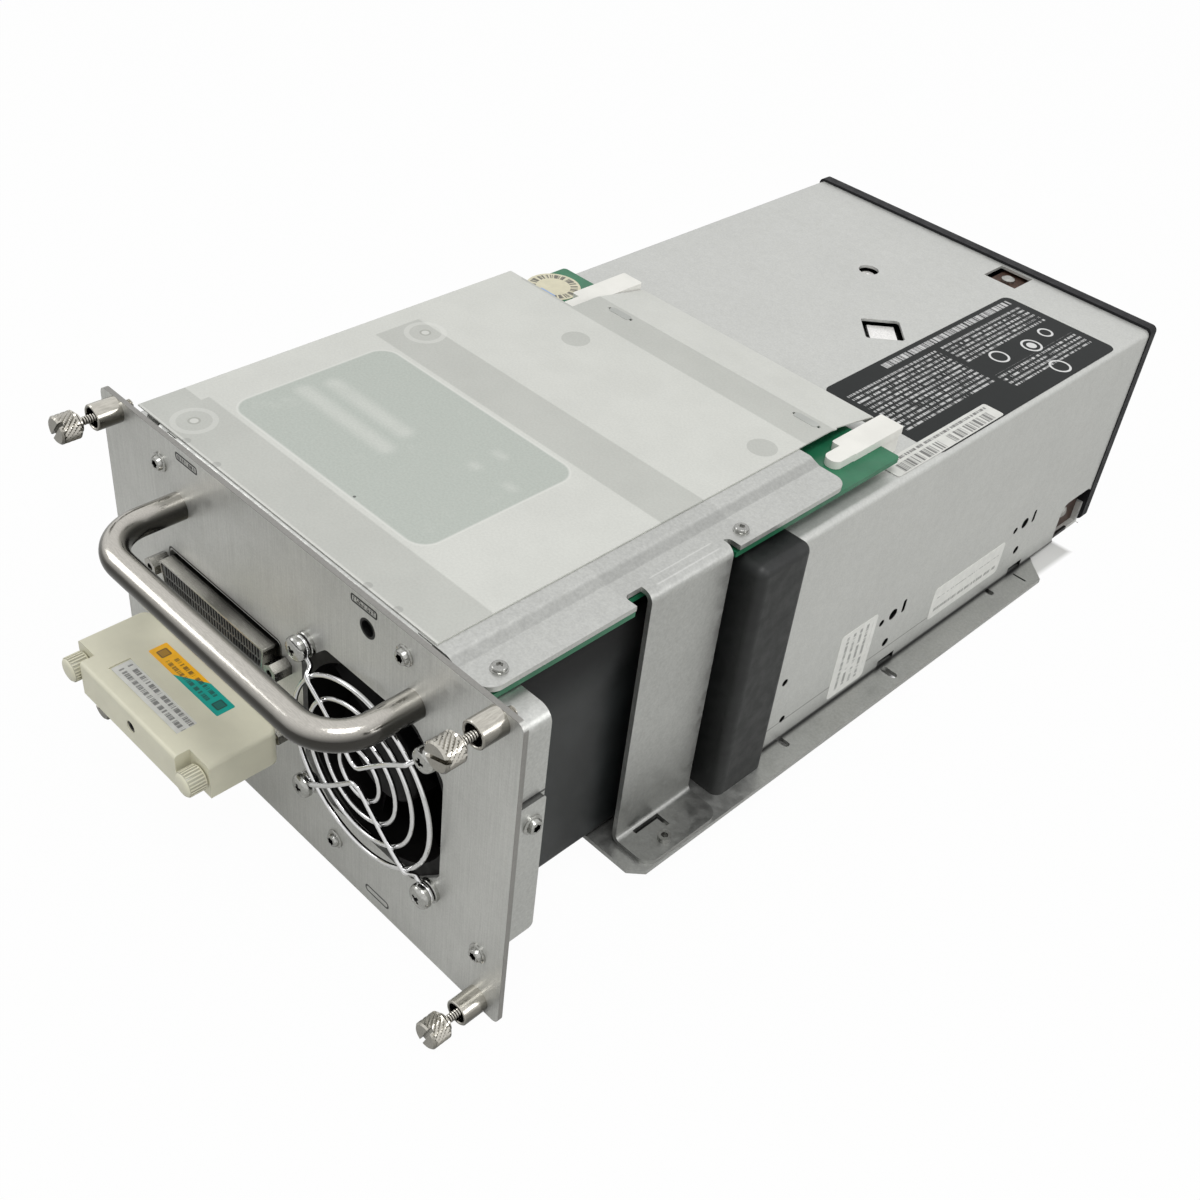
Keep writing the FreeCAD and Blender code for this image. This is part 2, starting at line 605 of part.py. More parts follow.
def bridge_bracket():
    """Hat-shaped bracket: joggled top plate, two legs with feet, front flange."""
    edge = leg_x + 0.4
    rim = flange_z + SHEET / 2
    crown = rim + JOGGLE
    slope = crown_half + 3.5
    across = [V(-edge, 0, rim), V(-slope, 0, rim), V(-crown_half, 0, crown), V(crown_half, 0, crown),
              V(slope, 0, rim), V(edge, 0, rim)]
    start = panel_back + FLANGE_THICK + PLAY
    top = bent_sheet(across, SHEET, 1.2, V(0, BRACKET_END - start, 0)).translate(V(0, start, 0))
    top = top.common(rounded(box(-edge, edge, start, BRACKET_END, rim - 3, crown + 3), Z, 4.5))
    for side in (-1, 1):
        relief = rounded(box(edge - 4.5, edge + 3, LEG_START - 6.2, leg_end + 1.8, rim - 3, rim + 3), Z, 1.6)
        top = top.cut(relief if side == 1 else mirrored(relief))
    leg = bent_sheet([V(edge - 6.0, 0, rim), V(leg_x - SHEET / 2, 0, rim),
                      V(leg_x - SHEET / 2, 0, TRAY_DROP + SHEET / 2),
                      V(half_tray - 0.3, 0, TRAY_DROP + SHEET / 2)],
                     SHEET, BEND, V(0, LEG_WIDTH, 0)).translate(V(0, LEG_START, 0))
    slit = box(leg_x + 1.0, leg_x + 2.4, LEG_START + 6.0, LEG_START + 16.0, TRAY_DROP - 1, TRAY_DROP + 3)
    hook = box(leg_x + 1.0, leg_x + 6.0, LEG_START + 14.8, LEG_START + 16.2, TRAY_DROP - 1, TRAY_DROP + 3)
    stud = rod(leg_x + 8.8, LEG_START + 10.8, TRAY_DROP - 1, Z, 1.5, 4)
    corners = [e for e in along(leg, Z) if e.CenterOfMass.x > half_tray - 1]
    leg = leg.makeFillet(4.5, corners).cut([slit, hook, stud])
    body = top.fuse([leg, mirrored(leg)])
    nose = bent_sheet([V(0, panel_back + SHEET / 2, nose_low), V(0, panel_back + SHEET / 2, crown),
                       V(0, panel_back + 5.0, crown)], SHEET, BEND, V(112.0, 0, 0)).translate(V(-61.0, 0, 0))
    body = body.cut(box(-53.0, 46.0, 0, panel_back + 5, rim - 3, crown + 2)).fuse(nose)
    holes = [rod(x, 0, z, Y, 1.6, 8) for x, z in BRACKET_SCREWS]
    holes.append(box(WINDOW[0], WINDOW[1], WINDOW[2], WINDOW[3], rim, crown + 3))
    for x, y in board_screw_places():
        holes.append(rod(x, y, rim - 3, Z, 1.6, 6))
    for x in (-29.7, 45.5):
        holes.append(rod(x, 127.5, rim, Z, 4.5, 6))
    body = body.cut([rounded(h, Z, 5.0) if len(h.Faces) == 6 else h for h in holes])
    return body.removeSplitter()


def board_screw_places():
    x = half_board - 3.6
    return [(x, 10.3), (x, 94.5), (-x, 10.3), (-x, 94.5)]


def controller_board():
    card = box(-half_board, half_board, BOARD_START, BOARD_END, board_z, board_top)
    card = rounded(card, Z, 1.2)
    notch = box(leg_x - 4.5, half_board + 1, LEG_START - 5.5, leg_end + 1.5, board_z - 1, board_top + 1)
    holes = [rod(x, y, board_z - 1, Z, 1.6, 4) for x, y in board_screw_places()]
    return card.cut([notch, mirrored(notch)] + holes)


def board_chips():
    """Packages and capacitors on the board's upper face, below the window."""
    made = [box(x, x + w, y, y + d, board_top, board_top + 1.0)
            for x, y, w, d in ((-48, 32, 24, 24), (-16, 30, 18, 12), (-16, 50, 18, 12), (6, 36, 11, 22))]
    made += [rod(x, 122.0, board_top, Z, 2.0, 1.0) for x in (-22, -10, 2, 14)]
    return together(made)


def board_spacers():
    return together([ring(x, y, board_top, Z, 2.8, 1.6, SPACER) for x, y in board_screw_places()])


def board_screws():
    """Screws through flange, spacer and board, with their nuts."""
    made = []
    for x, y in board_screw_places():
        made.append(button_screw(x, y, flange_top, Z, 2.9, 1.3, 1.45, flange_top - board_z + 1.7))
        made.append(ring(x, y, board_z - 1.7, Z, 2.8, 1.5, 1.7))
    return together(made)


def board_clip(x0):
    """Plastic clip: a narrow-tipped tongue over the board, a block behind it, a lip below it."""
    x1, back = x0 + CLIP_WIDTH, BOARD_END + 0.2
    low, high = board_top + 0.1, board_top + 2.6
    tip = rounded(box(x0 + 2.9, x1 - 0.2, back - 21.8, back - 10.0, low, high), Z, 2.4)
    body = rounded(box(x0, x1, back - 13.8, back + 10.2, low, high), Z, 0.8)
    block = rounded(box(x0 + 0.8, x1 - 0.4, back, back + 10.2, drive_top, high), Z, 1.2)
    lip = box(x0 + 1.5, x1 - 1.5, back - 6.0, back + 2.0, drive_top, board_z - 0.1)
    return tip.fuse([body, block, lip]).removeSplitter()


def cover_film():
    """Frosted sheet over the bracket, folded down behind it."""
    left, right = -half_board - 2.6, half_drive - 21.0
    flap_left = CLIP_PLACES[0] + CLIP_WIDTH + 0.5
    clip_tip = BOARD_END - 22.4
    flat_end, flap_end = BOARD_END - 11.3, BOARD_END + 11.0
    lift = film_z
    flat = plate([(left, 3.5), (right, 3.5), (right, flat_end), (flap_left, flat_end),
                  (flap_left, clip_tip), (left, clip_tip)], FILM_THICK, lift)
    middle = lift + FILM_THICK / 2
    flap = bent_sheet([V(0, flat_end - 6.0, middle), V(0, flat_end, middle), V(0, flap_end, middle - 4.2),
                       V(0, flap_end + 0.3, middle - 7.4)], FILM_THICK, 1.0, V(right - flap_left, 0, 0))
    flap = flap.translate(V(flap_left, 0, 0))
    clear = [box(right - 0.6, right + 1, flat_end + 2.5, flap_end + 2, board_z, film_z + 2)]
    slots = [box(x - 5, x + 5, flat_end - 2.4, flat_end - 1.4, film_z - 3, film_z + 3) for x in (-31.0, 44.0)]
    return flat.fuse(flap).cut(clear + slots).removeSplitter()


# ---------------------------------------------------------------- duct and collar
def duct_box():
    """Outer sizes of the duct: it takes the fan between its side walls."""
    reach = FAN_SIZE / 2 + DUCT_WALL + 0.1
    return FAN_X - reach, FAN_X + reach, TRAY_DROP, nose_low - PLAY


def air_duct():
    """Plenum from the fan to the collar, open at both ends, with a screw tab."""
    x0, x1, z0, z1 = duct_box()
    outer = box(x0, x1, panel_back, COLLAR_START, z0, z1)
    outer = rounded(outer, Y, 2.5)
    inner = box(x0 + DUCT_WALL, x1 - DUCT_WALL, panel_back - 1, COLLAR_START + 1,
                z0 + DUCT_WALL, z1 - DUCT_WALL)
    baffles = [box(x0, x1, fan_back - 2.0, fan_back, low, high)
               for low, high in ((z0 + 1, FAN_Z - FAN_SIZE / 2), (FAN_Z + FAN_SIZE / 2, z1 - 1))]
    x, z = DUCT_SCREW
    tab = rounded(box(x - 7, x + 7, panel_back, panel_back + DUCT_WALL, z - 4, z0 + 1), Y, 2.0)
    body = outer.cut(inner).fuse([b.common(outer) for b in baffles] + [tab])
    return body.cut(rod(x, 0, z, Y, 1.6, 6)).removeSplitter()


def duct_collar():
    """Soft boot over the drive's rear end, on its two sides and top."""
    end = DRIVE_START + COLLAR_GRIP
    half, top = half_drive + COLLAR_WALL, drive_top + 2.0
    outer = box(-half, half, COLLAR_START, end, TRAY_DROP, top)
    outer = outer.makeFillet(3.0, [e for e in outer.Edges if e.CenterOfMass.z > TRAY_DROP + 1])
    seat = box(-half_drive - 0.1, half_drive + 0.1, DRIVE_START - 0.1, end + 1,
               TRAY_DROP - 1, drive_top + 0.1)
    x0, x1, z0, z1 = duct_box()
    air = box(x0 + DUCT_WALL, x1 - DUCT_WALL, COLLAR_START - 1, end, z0 + DUCT_WALL, z1 - DUCT_WALL)
    cables = box(6.0 - half_drive, x0 - 2.0, COLLAR_START - 1, end, z0 + DUCT_WALL, z1 - DUCT_WALL)
    return outer.cut([seat, air, cables])


# ---------------------------------------------------------------- tray
def tray_screw_places():
    x = half_drive - 3.15
    return [(side * x, y) for side in (-1, 1) for y in SIDE_HOLES_Y]


def mounting_tray():
    front, chamfer = TRAY_START, 4.0
    outline = [(-half_tray + chamfer, front), (half_tray - chamfer, front), (half_tray, front + chamfer),
               (half_tray, TRAY_END - 6), (half_tray - 7, TRAY_END), (half_drive - 1.5, TRAY_END + 4),
               (1.5 - half_drive, TRAY_END + 4), (7 - half_tray, TRAY_END), (-half_tray, TRAY_END - 6),
               (-half_tray, front + chamfer)]
    body = plate(outline, SHEET, TRAY_DROP - SHEET)
    low, high = TRAY_DROP - SHEET - 1, TRAY_DROP + 1
    cuts = []
    for x, y, length, width in ((half_drive + 4.0, SIDE_HOLES_Y[0] + 1.6, 5.6, 0.9),
                                (half_drive + 1.2, SIDE_HOLES_Y[0] - 14.6, 4.4, 2.4),
                                (half_drive + 4.0, SIDE_HOLES_Y[1] + 0.8, 6.0, 2.8),
                                (half_drive + 2.0, DRIVE_START + 22.0, 4.4, 2.4)):
        hole = box(x - length / 2, x + length / 2, y - width / 2, y + width / 2, low, high)
        hole = rounded(hole, Z, width * 0.45)
        cuts += [hole, mirrored(hole)]
    cuts += [countersunk_screw(x, y, TRAY_DROP - SHEET, Z, 1.5, 3) for x, y in tray_screw_places()]
    cuts += [rod(side * (leg_x + 8.8), LEG_START + 10.8, low, Z, 1.5, 4) for side in (-1, 1)]
    return body.cut(cuts)


def foot_rivets():
    """Hollow rivets that hold the bracket's feet to the tray."""
    made = []
    for side in (-1, 1):
        x, y = side * (leg_x + 8.8), LEG_START + 10.8
        low = TRAY_DROP - SHEET
        body = rod(x, y, low, Z, 1.5, 2 * SHEET + 1.6).fuse(rod(x, y, TRAY_DROP + SHEET, Z, 2.0, 1.6))
        made.append(body.cut(rod(x, y, low, Z, 1.0, 6)))
    return together(made)


def drive_screws():
    return together([countersunk_screw(x, y, TRAY_DROP - SHEET, Z, 1.5, SHEET + 6.0)
                     for x, y in tray_screw_places()])


# ---------------------------------------------------------------- drive housing
base_top = drive_bottom + 1.5
logic_z = base_top + 7.1                 # underside of the logic board
rear_opening = (10.4 - half_drive, -9.0)  # data connector's span in the rear wall
power_opening = (-56.0, -28.0)
power_z = deck_z + 2.5


def side_hole_cuts():
    low, high = drive_bottom + 10.9, drive_bottom + 22.8
    cuts = []
    for y in SIDE_HOLES_Y:
        cuts.append(rod(half_drive - 4, y, low, X, 1.6, 6))
        cuts.append(rod(half_drive - 4, y, high, X, 2.1, 6))
        cuts.append(rod(half_drive - 4, y - 6.0, high - 0.6, X, 1.3, 6))
        slot = box(half_drive - 4, half_drive + 2, y + 5.0, y + 6.8, high - 2.2, high + 3.2)
        cuts.append(rounded(slot, X, 0.85))
        cuts.append(box(half_drive - 4, half_drive + 2, y - 1.0, y + 8.0,
                        drive_bottom - 1, drive_bottom + 3.0))
    cuts.append(rod(half_drive - 4, DRIVE_START + 18.1, high + 3.0, X, 1.3, 6))
    cuts.append(rod(half_drive - 4, DRIVE_START + 21.5, low - 2.2, X, 1.3, 6))
    corner = box(half_drive - 4, half_drive + 2, drive_end - 20.0, drive_end + 1, drive_bottom - 1,
                 drive_bottom + 17.0)
    cuts.append(rounded(corner, X, 4.0))
    return cuts


def drive_cover():
    """Folded lid: top and two sides in one sheet."""
    skin, t = DRIVE_SKIN, DRIVE_SKIN / 2
    path = [V(-half_drive + t, 0, drive_bottom), V(-half_drive + t, 0, drive_top - t),
            V(half_drive - t, 0, drive_top - t), V(half_drive - t, 0, drive_bottom)]
    body = bent_sheet(path, skin, 1.6, V(0, DRIVE_LENGTH, 0)).translate(V(0, DRIVE_START, 0))
    cuts = []
    for cut in side_hole_cuts():
        cuts += [cut, mirrored(cut)]
    diamond = box(-6.6, 6.6, -6.6, 6.6, drive_top - 3, drive_top + 1)
    diamond = rounded(diamond, Z, 1.2).rotate(V(0, 0, 0), Z, 45)
    cuts.append(diamond.translate(V(15.4, drive_end - 78.8, 0)))
    cuts.append(rod(-14.0, drive_end - 47.2, drive_top - 3, Z, 3.6, 5))
    cuts.append(box(13.0, 26.0, drive_end - 13.5, drive_end - 1.5, drive_top - 3, drive_top + 1))
    return body.cut(cuts)


def drive_base():
    """Bottom plate with turned-up front and rear edges and screw bosses."""
    half = half_drive - DRIVE_SKIN
    body = box(-half, half, DRIVE_START, drive_end, drive_bottom, base_top)
    front = box(-half, half, drive_end - 1.5, drive_end, base_top, base_top + 8.0)
    bosses = [rod(x, y, base_top, Z, 2.5, logic_z - base_top) for x, y in tray_screw_places()]
    body = body.fuse([front] + [b.common(box(-half, half, 0, 999, 0, 99)) for b in bosses])
    holes = [rod(x, y, drive_bottom - 1, Z, 1.5, 7.5) for x, y in tray_screw_places()]
    return body.cut(holes)


def drive_rear_panel():
    """Rear wall with a field of vent slots and the connector openings."""
    half = half_drive - DRIVE_SKIN
    body = box(-half, half, DRIVE_START, DRIVE_START + 1.2, base_top, drive_top - DRIVE_SKIN)
    top = [e for e in along(body, Y) if e.CenterOfMass.z > FAN_Z]
    body = body.makeFillet(1.8, top)
    low, high = DRIVE_START - 1, DRIVE_START + 3
    cuts = [box(rear_opening[0], rear_opening[1], low, high, logic_z + 1.6, logic_z + 11.5),
            box(power_opening[0] - 0.2, power_opening[1] + 0.2, low, high, power_z - 0.2, power_z + 9.7)]
    for row in range(6):
        cuts.append(slot_y(FAN_X, drive_bottom + 30.0 + row * 7.0, 44.0, 3.0, low, high))
    return body.cut(cuts)


def rear_connectors():
    """Data connector on the logic board's edge, power socket snapped into the rear wall."""
    x0, x1 = rear_opening[0] + 1.0, rear_opening[1] - 1.0
    z = logic_z + 1.6
    data = box(x0, x1, DRIVE_START - 3.5, DRIVE_START + 9, z, z + 8.8)
    data = data.cut(box(x0 + 3, x1 - 3, DRIVE_START - 4, DRIVE_START - 0.5, z + 2.3, z + 6.8))
    x0, x1 = power_opening
    power = rounded(box(x0, x1, DRIVE_START - 2.5, DRIVE_START + 9, power_z, power_z + 9.5), Y, 1.0)
    pins = [rod(x0 + 6.4 + 5.08 * i, DRIVE_START - 3, power_z + 4.7, Y, 1.6, 7) for i in range(4)]
    return together([data, power.cut(pins)])


def logic_board():
    half = half_drive - DRIVE_SKIN - 2.0
    card = box(-half, half, inner_rear, drive_end - 20.0, logic_z, logic_z + 1.6)
    gap = PLAY
    notches = [box(x - gap, x + FOOT + gap, y - gap, y + FOOT + gap, logic_z - 1, logic_z + 3)
               for x, y in chassis_feet()]
    return card.cut(notches)


# ---------------------------------------------------------------- bezel
half_bezel = half_drive + BEZEL_PROUD
bezel_low = drive_bottom + 1.7
bezel_high = drive_top + 1.0
button_z = drive_bottom + 22.0
BUTTON_X = -50.0
BUTTON_TRAVEL = 1.2


def drive_bezel():
    body = box(-half_bezel, half_bezel, bezel_back, bezel_front, bezel_low, bezel_high)
    body = rounded(body, Y, 2.0)
    edges = [e for e in body.Edges if abs(e.CenterOfMass.y - bezel_front) < 1e-6]
    body = body.makeChamfer(1.0, edges)
    half = SLOT_WIDTH / 2
    slot = box(-half, half, bezel_back - 1, bezel_front + 1, slot_z, slot_top)
    funnel = Part.makeLoft([rectangle(half + 2.5, slot_z - 2.5, slot_top + 2.5, bezel_front + 0.01),
                            rectangle(half, slot_z, slot_top, bezel_front - 2.6)], True, True)
    button = box(BUTTON_X - 7 - PLAY, BUTTON_X + 7 + PLAY, bezel_back - 1, bezel_front + 1,
                 button_z - 3 - PLAY, button_z + 3 + PLAY)
    lens = box(-12, 26, bezel_front - 1.2, bezel_front + 1, button_z - 4, button_z + 4)
    vents = [slot_y(half_bezel - 11.0, bezel_low + 12.0 + 5.0 * i, 12.0, 2.2, bezel_back - 1, bezel_front + 1)
             for i in range(4)]
    return body.cut([slot, funnel, button, lens] + vents).fuse(door_ears())


def rectangle(half, low, high, y):
    places = [V(-half, y, low), V(half, y, low), V(half, y, high), V(-half, y, high)]
    return Part.makePolygon(places + places[:1])


door_axis_y = bezel_back - 2.2
door_axis_z = slot_top + 1.2


def cartridge_door():
    """Flap behind the slot, on a hinge pin along its upper edge."""
    half = SLOT_WIDTH / 2 + 1.2
    leaf = box(-half, half, bezel_back - 0.3 - DOOR_THICK, bezel_back - 0.3, slot_z - 1.5, door_axis_z)
    barrel = rod(-half, door_axis_y, door_axis_z, X, 1.5, 2 * half)
    pin = rod(-half - 2.4, door_axis_y, door_axis_z, X, 0.9, 2 * half + 4.8)
    return leaf.fuse([barrel, pin])


def door_ears():
    """Ears on the bezel's back that hold the door's hinge pin."""
    half = SLOT_WIDTH / 2 + 1.2
    made = []
    for side in (-1, 1):
        x0, x1 = sorted((side * (half + PLAY), side * (half + 2.6)))
        ear = box(x0, x1, bezel_back - 5.0, bezel_back, door_axis_z - 3.0, door_axis_z + 3.0)
        made.append(ear.cut(rod(x0 - 1, door_axis_y, door_axis_z, X, 0.9 + FIT, 5)))
    return made


def eject_button():
    cap = box(BUTTON_X - 7, BUTTON_X + 7, bezel_back - 0.5, bezel_front + 1.0, button_z - 3, button_z + 3)
    cap = rounded(cap, Y, 1.0)
    rim = box(BUTTON_X - 8.5, BUTTON_X + 8.5, bezel_back - 1.5, bezel_back - 0.3,
              button_z - 4.5, button_z + 4.5)
    return cap.fuse(rim)


def button_switch():
    """Switch post behind the button, on the front turn-up of the base."""
    front = bezel_back - 1.5 - BUTTON_TRAVEL - PLAY
    post = box(BUTTON_X - 3, BUTTON_X + 3, front - 5.0, front - 1.0, base_top, button_z + 2.5)
    plunger = rod(BUTTON_X, front - 1.0, button_z, Y, 1.2, 1.0)
    return post.fuse(plunger)


def status_lens():
    return rounded(box(-12, 26, bezel_front - 1.2, bezel_front - 0.1, button_z - 4, button_z + 4), Y, 0.8)


def ground_clips():
    """Copper tab with its screw in the cover's notch, and a lug at each lower corner."""
    tab = box(14.5, 24.5, drive_end - 12.5, drive_end, drive_top - 2.4, drive_top - 1.6)
    top = button_screw(19.5, drive_end - 7.0, drive_top - 1.6, Z, 2.4, 1.3, 1.2, 3.0)
    made = [tab.cut(rod(19.5, drive_end - 7.0, drive_top - 5, Z, 1.2, 9)), top]
    for side in (-1, 1):
        x = side * (half_drive - DRIVE_SKIN - 3.0)
        x0, x1 = sorted((x, x + side * 1.0))
        lug = box(x0, x1, drive_end - 17.0, drive_end - 1.6, base_top, drive_bottom + 15.0)
        screw = button_screw(x1 if side == 1 else x0, drive_end - 12.5, drive_bottom + 9.5, X * side,
                             2.2, 1.3, 1.2, 2.6)
        made += [lug.cut(rod(min(x0, x1) - 2, drive_end - 12.5, drive_bottom + 9.5, X, 1.2, 6)), screw]
    return together(made)


# ---------------------------------------------------------------- drive mechanism
FOOT = 8.0
half_deck = half_drive - DRIVE_SKIN - 0.4
deck_rear = inner_rear + 1.0
deck_front = drive_end - 22.0


def chassis_feet():
    """Lower corners of the chassis' four feet."""
    return [(x, y) for x in (-half_deck, half_deck - FOOT) for y in (deck_rear, deck_front - FOOT)]


def drive_chassis():
    """Cast deck on four feet, with side ribs, carrier guides and motor holes."""
    floor = box(-half_deck, half_deck, deck_rear, deck_front, deck_z - 3.0, deck_z)
    ribs = []
    for x in (-half_deck, half_deck - 2.5):
        ribs.append(box(x, x + 2.5, deck_rear, deck_front, deck_z - 9.0, deck_z))
        ribs.append(box(x, x + 2.5, carrier_start - 3.0, deck_front, deck_z, slot_top + 3.0))
    guides = []
    for side in (-1, 1):
        x0, x1 = sorted((side * half_deck, side * (half_carrier + PLAY)))
        guides.append(box(x0, x1, carrier_start + 10, carrier_start + 22, slot_z + 8, slot_z + 12))
    feet = [box(x, x + FOOT, y, y + FOOT, base_top, deck_z) for x, y in chassis_feet()]
    holes = [rod(0, y, deck_z - 9, Z, 8.0, 12) for y in (reel_y, clutch_y)]
    return floor.fuse(ribs + guides + feet).cut(holes).removeSplitter()


def reel_motor(y):
    """Flat motor under the deck with a flange and a bearing bore for the spindle."""
    can = rod(0, y, deck_z - 17.0, Z, 21.0, 14.0)
    boss = rod(0, y, deck_z - 3.0, Z, 7.8, 3.0)
    return can.fuse(boss).cut(rod(0, y, deck_z - 15.0, Z, 3.0 + FIT, 20))


def take_up_reel():
    z0 = deck_z + 1.2
    hub = rod(0, reel_y, z0, Z, 22.0, REEL_WIDTH)
    flanges = [rod(0, reel_y, z, Z, REEL_D / 2, 1.2) for z in (z0, z0 + REEL_WIDTH - 1.2)]
    spindle = rod(0, reel_y, deck_z - 14.0, Z, 3.0, 16.0)
    windows = []
    for i in range(3):
        hole = rod(0, reel_y + 30.0, z0 + REEL_WIDTH - 2, Z, 6.5, 4)
        windows.append(hole.rotate(V(0, reel_y, 0), Z, 120 * i))
    recess = rod(0, reel_y, z0 + REEL_WIDTH - 5, Z, 16.0, 6)
    return hub.fuse(flanges + [spindle]).cut(windows + [recess])


def supply_clutch():
    """Toothed clutch that meets the cartridge hub."""
    z0 = deck_z + 1.2
    disc = rod(0, clutch_y, z0, Z, 16.0, 3.0)
    spindle = rod(0, clutch_y, deck_z - 14.0, Z, 3.0, 16.0)
    teeth = [box(10.0, 15.0, clutch_y - 0.9, clutch_y + 0.9, z0 + 3.0, z0 + 4.4)
             .rotate(V(0, clutch_y, 0), Z, 30 * i) for i in range(12)]
    return disc.fuse([spindle] + teeth)


def cartridge_carrier():
    """Open tray that takes the cartridge and lowers it on to the clutch."""
    half, wall = half_carrier, CARRIER_WALL
    y0, y1 = carrier_start, carrier_start + CARRIER_DEPTH
    floor = box(-half - wall, half + wall, y0, y1, slot_z - 0.8, slot_z)
    sides = [box(x, x + wall, y0, y1, slot_z, slot_z + 21.5) for x in (-half - wall, half)]
    back = box(-half, half, y0, y0 + wall, slot_z, slot_z + 16.0)
    slots = []
    for side in (-1, 1):
        x0, x1 = sorted((side * (half - 1), side * (half + 3)))
        slots.append(box(x0, x1, y0 + 10 - PLAY, y0 + 22 + PLAY,
                         slot_z + 8 - PLAY, slot_z + 13 + CARRIER_DROP))
    return floor.fuse(sides + [back]).cut([rod(0, clutch_y, slot_z - 2, Z, 19.0, 4)] + slots)


HEAD = (half_drive - 12.0, reel_y + 13.0)
ROLLERS = {"a": (half_drive - 17.0, carrier_start - 8.0), "b": (HEAD[0] - 2.5, HEAD[1] + 13.0),
           "c": (HEAD[0] - 2.5, HEAD[1] - 19.0), "d": (HEAD[0] - 10.5, HEAD[1] - 47.0)}


def deck_posts():
    """Steel posts for the four rollers and for the head carriage."""
    posts = [rod(x, y, deck_z, Z, 1.5, 19.0) for x, y in ROLLERS.values()]
    return together(posts + [rod(*HEAD, deck_z, Z, 2.0, 21.0)])


def guide_roller(x, y):
    body = rod(x, y, deck_z + 0.6, Z, ROLLER_D / 2, REEL_WIDTH)
    waist = ring(x, y, deck_z + 2.2, Z, ROLLER_D, ROLLER_D / 2 - 0.9, REEL_WIDTH - 3.2)
    return body.cut([waist, rod(x, y, deck_z, Z, 1.5 + FIT, 20)])


def head_block():
    """Head carriage that rides up and down its post."""
    x, y = HEAD
    block = box(x - 5.5, x + 3.5, y - 6.0, y + 6.0, deck_z + 3.0, deck_z + 15.0)
    nose = rod(x - 5.5, y, deck_z + 3.0, Z, 2.4, 12.0)
    return block.fuse(nose).cut(rod(x, y, deck_z, Z, 2.0 + FIT, 20))


# ---------------------------------------------------------------- all nodes
def build():
    flange = side_flange()
    strap = clamp_plate()
    nodes = {
        "front_panel": front_panel(),
        "side_flanges": together([flange, mirrored(flange)]),
        "clamp_plates": together([strap, mirrored(strap)]),
        "handle": handle(),
        "handle_screws": handle_screws(),
        "screw_ferrules": screw_ferrules(),
        "panel_screws": panel_screws(),
        "fan_frame": fan_frame(),
        "fan_stator": fan_stator(),
        "fan_rotor": fan_rotor(),
        "fan_guard": fan_guard(),
        "fan_screws": fan_screws(),
        "scsi_shells": together([scsi_shell(PORT_Z_UPPER), scsi_shell(PORT_Z_LOWER)]),
        "scsi_inserts": together([scsi_insert(PORT_Z_UPPER), scsi_insert(PORT_Z_LOWER)]),
        "jack_sockets": jack_sockets(),
        "port_board": port_board(),
        "terminator_body": terminator_body(),
        "terminator_plug": terminator_plug(),
        "terminator_insert": terminator_insert(),
        "terminator_screw_left": terminator_screw(-1),
        "terminator_screw_right": terminator_screw(1),
        "bridge_bracket": bridge_bracket(),
        "cover_film": cover_film(),
        "controller_board": controller_board(),
        "board_chips": board_chips(),
        "board_spacers": board_spacers(),
        "board_screws": board_screws(),
        "board_clips": together([board_clip(x) for x in CLIP_PLACES]),
        "air_duct": air_duct(),
        "duct_collar": duct_collar(),
        "mounting_tray": mounting_tray(),
        "foot_rivets": foot_rivets(),
        "drive_screws": drive_screws(),
        "drive_cover": drive_cover(),
        "drive_base": drive_base(),
        "drive_rear_panel": drive_rear_panel(),
        "rear_connectors": rear_connectors(),
        "logic_board": logic_board(),
        "drive_bezel": drive_bezel(),
        "cartridge_door": cartridge_door(),
        "eject_button": eject_button(),
        "button_switch": button_switch(),
        "status_lens": status_lens(),
        "ground_clips": ground_clips(),
        "drive_chassis": drive_chassis(),
        "reel_motors": together([reel_motor(reel_y), reel_motor(clutch_y)]),
        "take_up_reel": take_up_reel(),
        "supply_clutch": supply_clutch(),
        "cartridge_carrier": cartridge_carrier(),
        "deck_posts": deck_posts(),
        "head_block": head_block(),
    }
    for corner, (x, z) in ferrule_places().items():
        nodes["thumbscrew_" + corner] = thumbscrew(x, z)
    for letter, (x, y) in ROLLERS.items():
        nodes["guide_roller_" + letter] = guide_roller(x, y)
    return nodes


origin = V(0, panel_back, panel_height / 2)
os.makedirs("parts", exist_ok=True)
for name, shape in build().items():
    shape.translated(origin * -1).exportStep("parts/%s.step" % name)
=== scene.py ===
from contextlib import contextmanager
import math
import bpy
from mathutils import Matrix, Vector


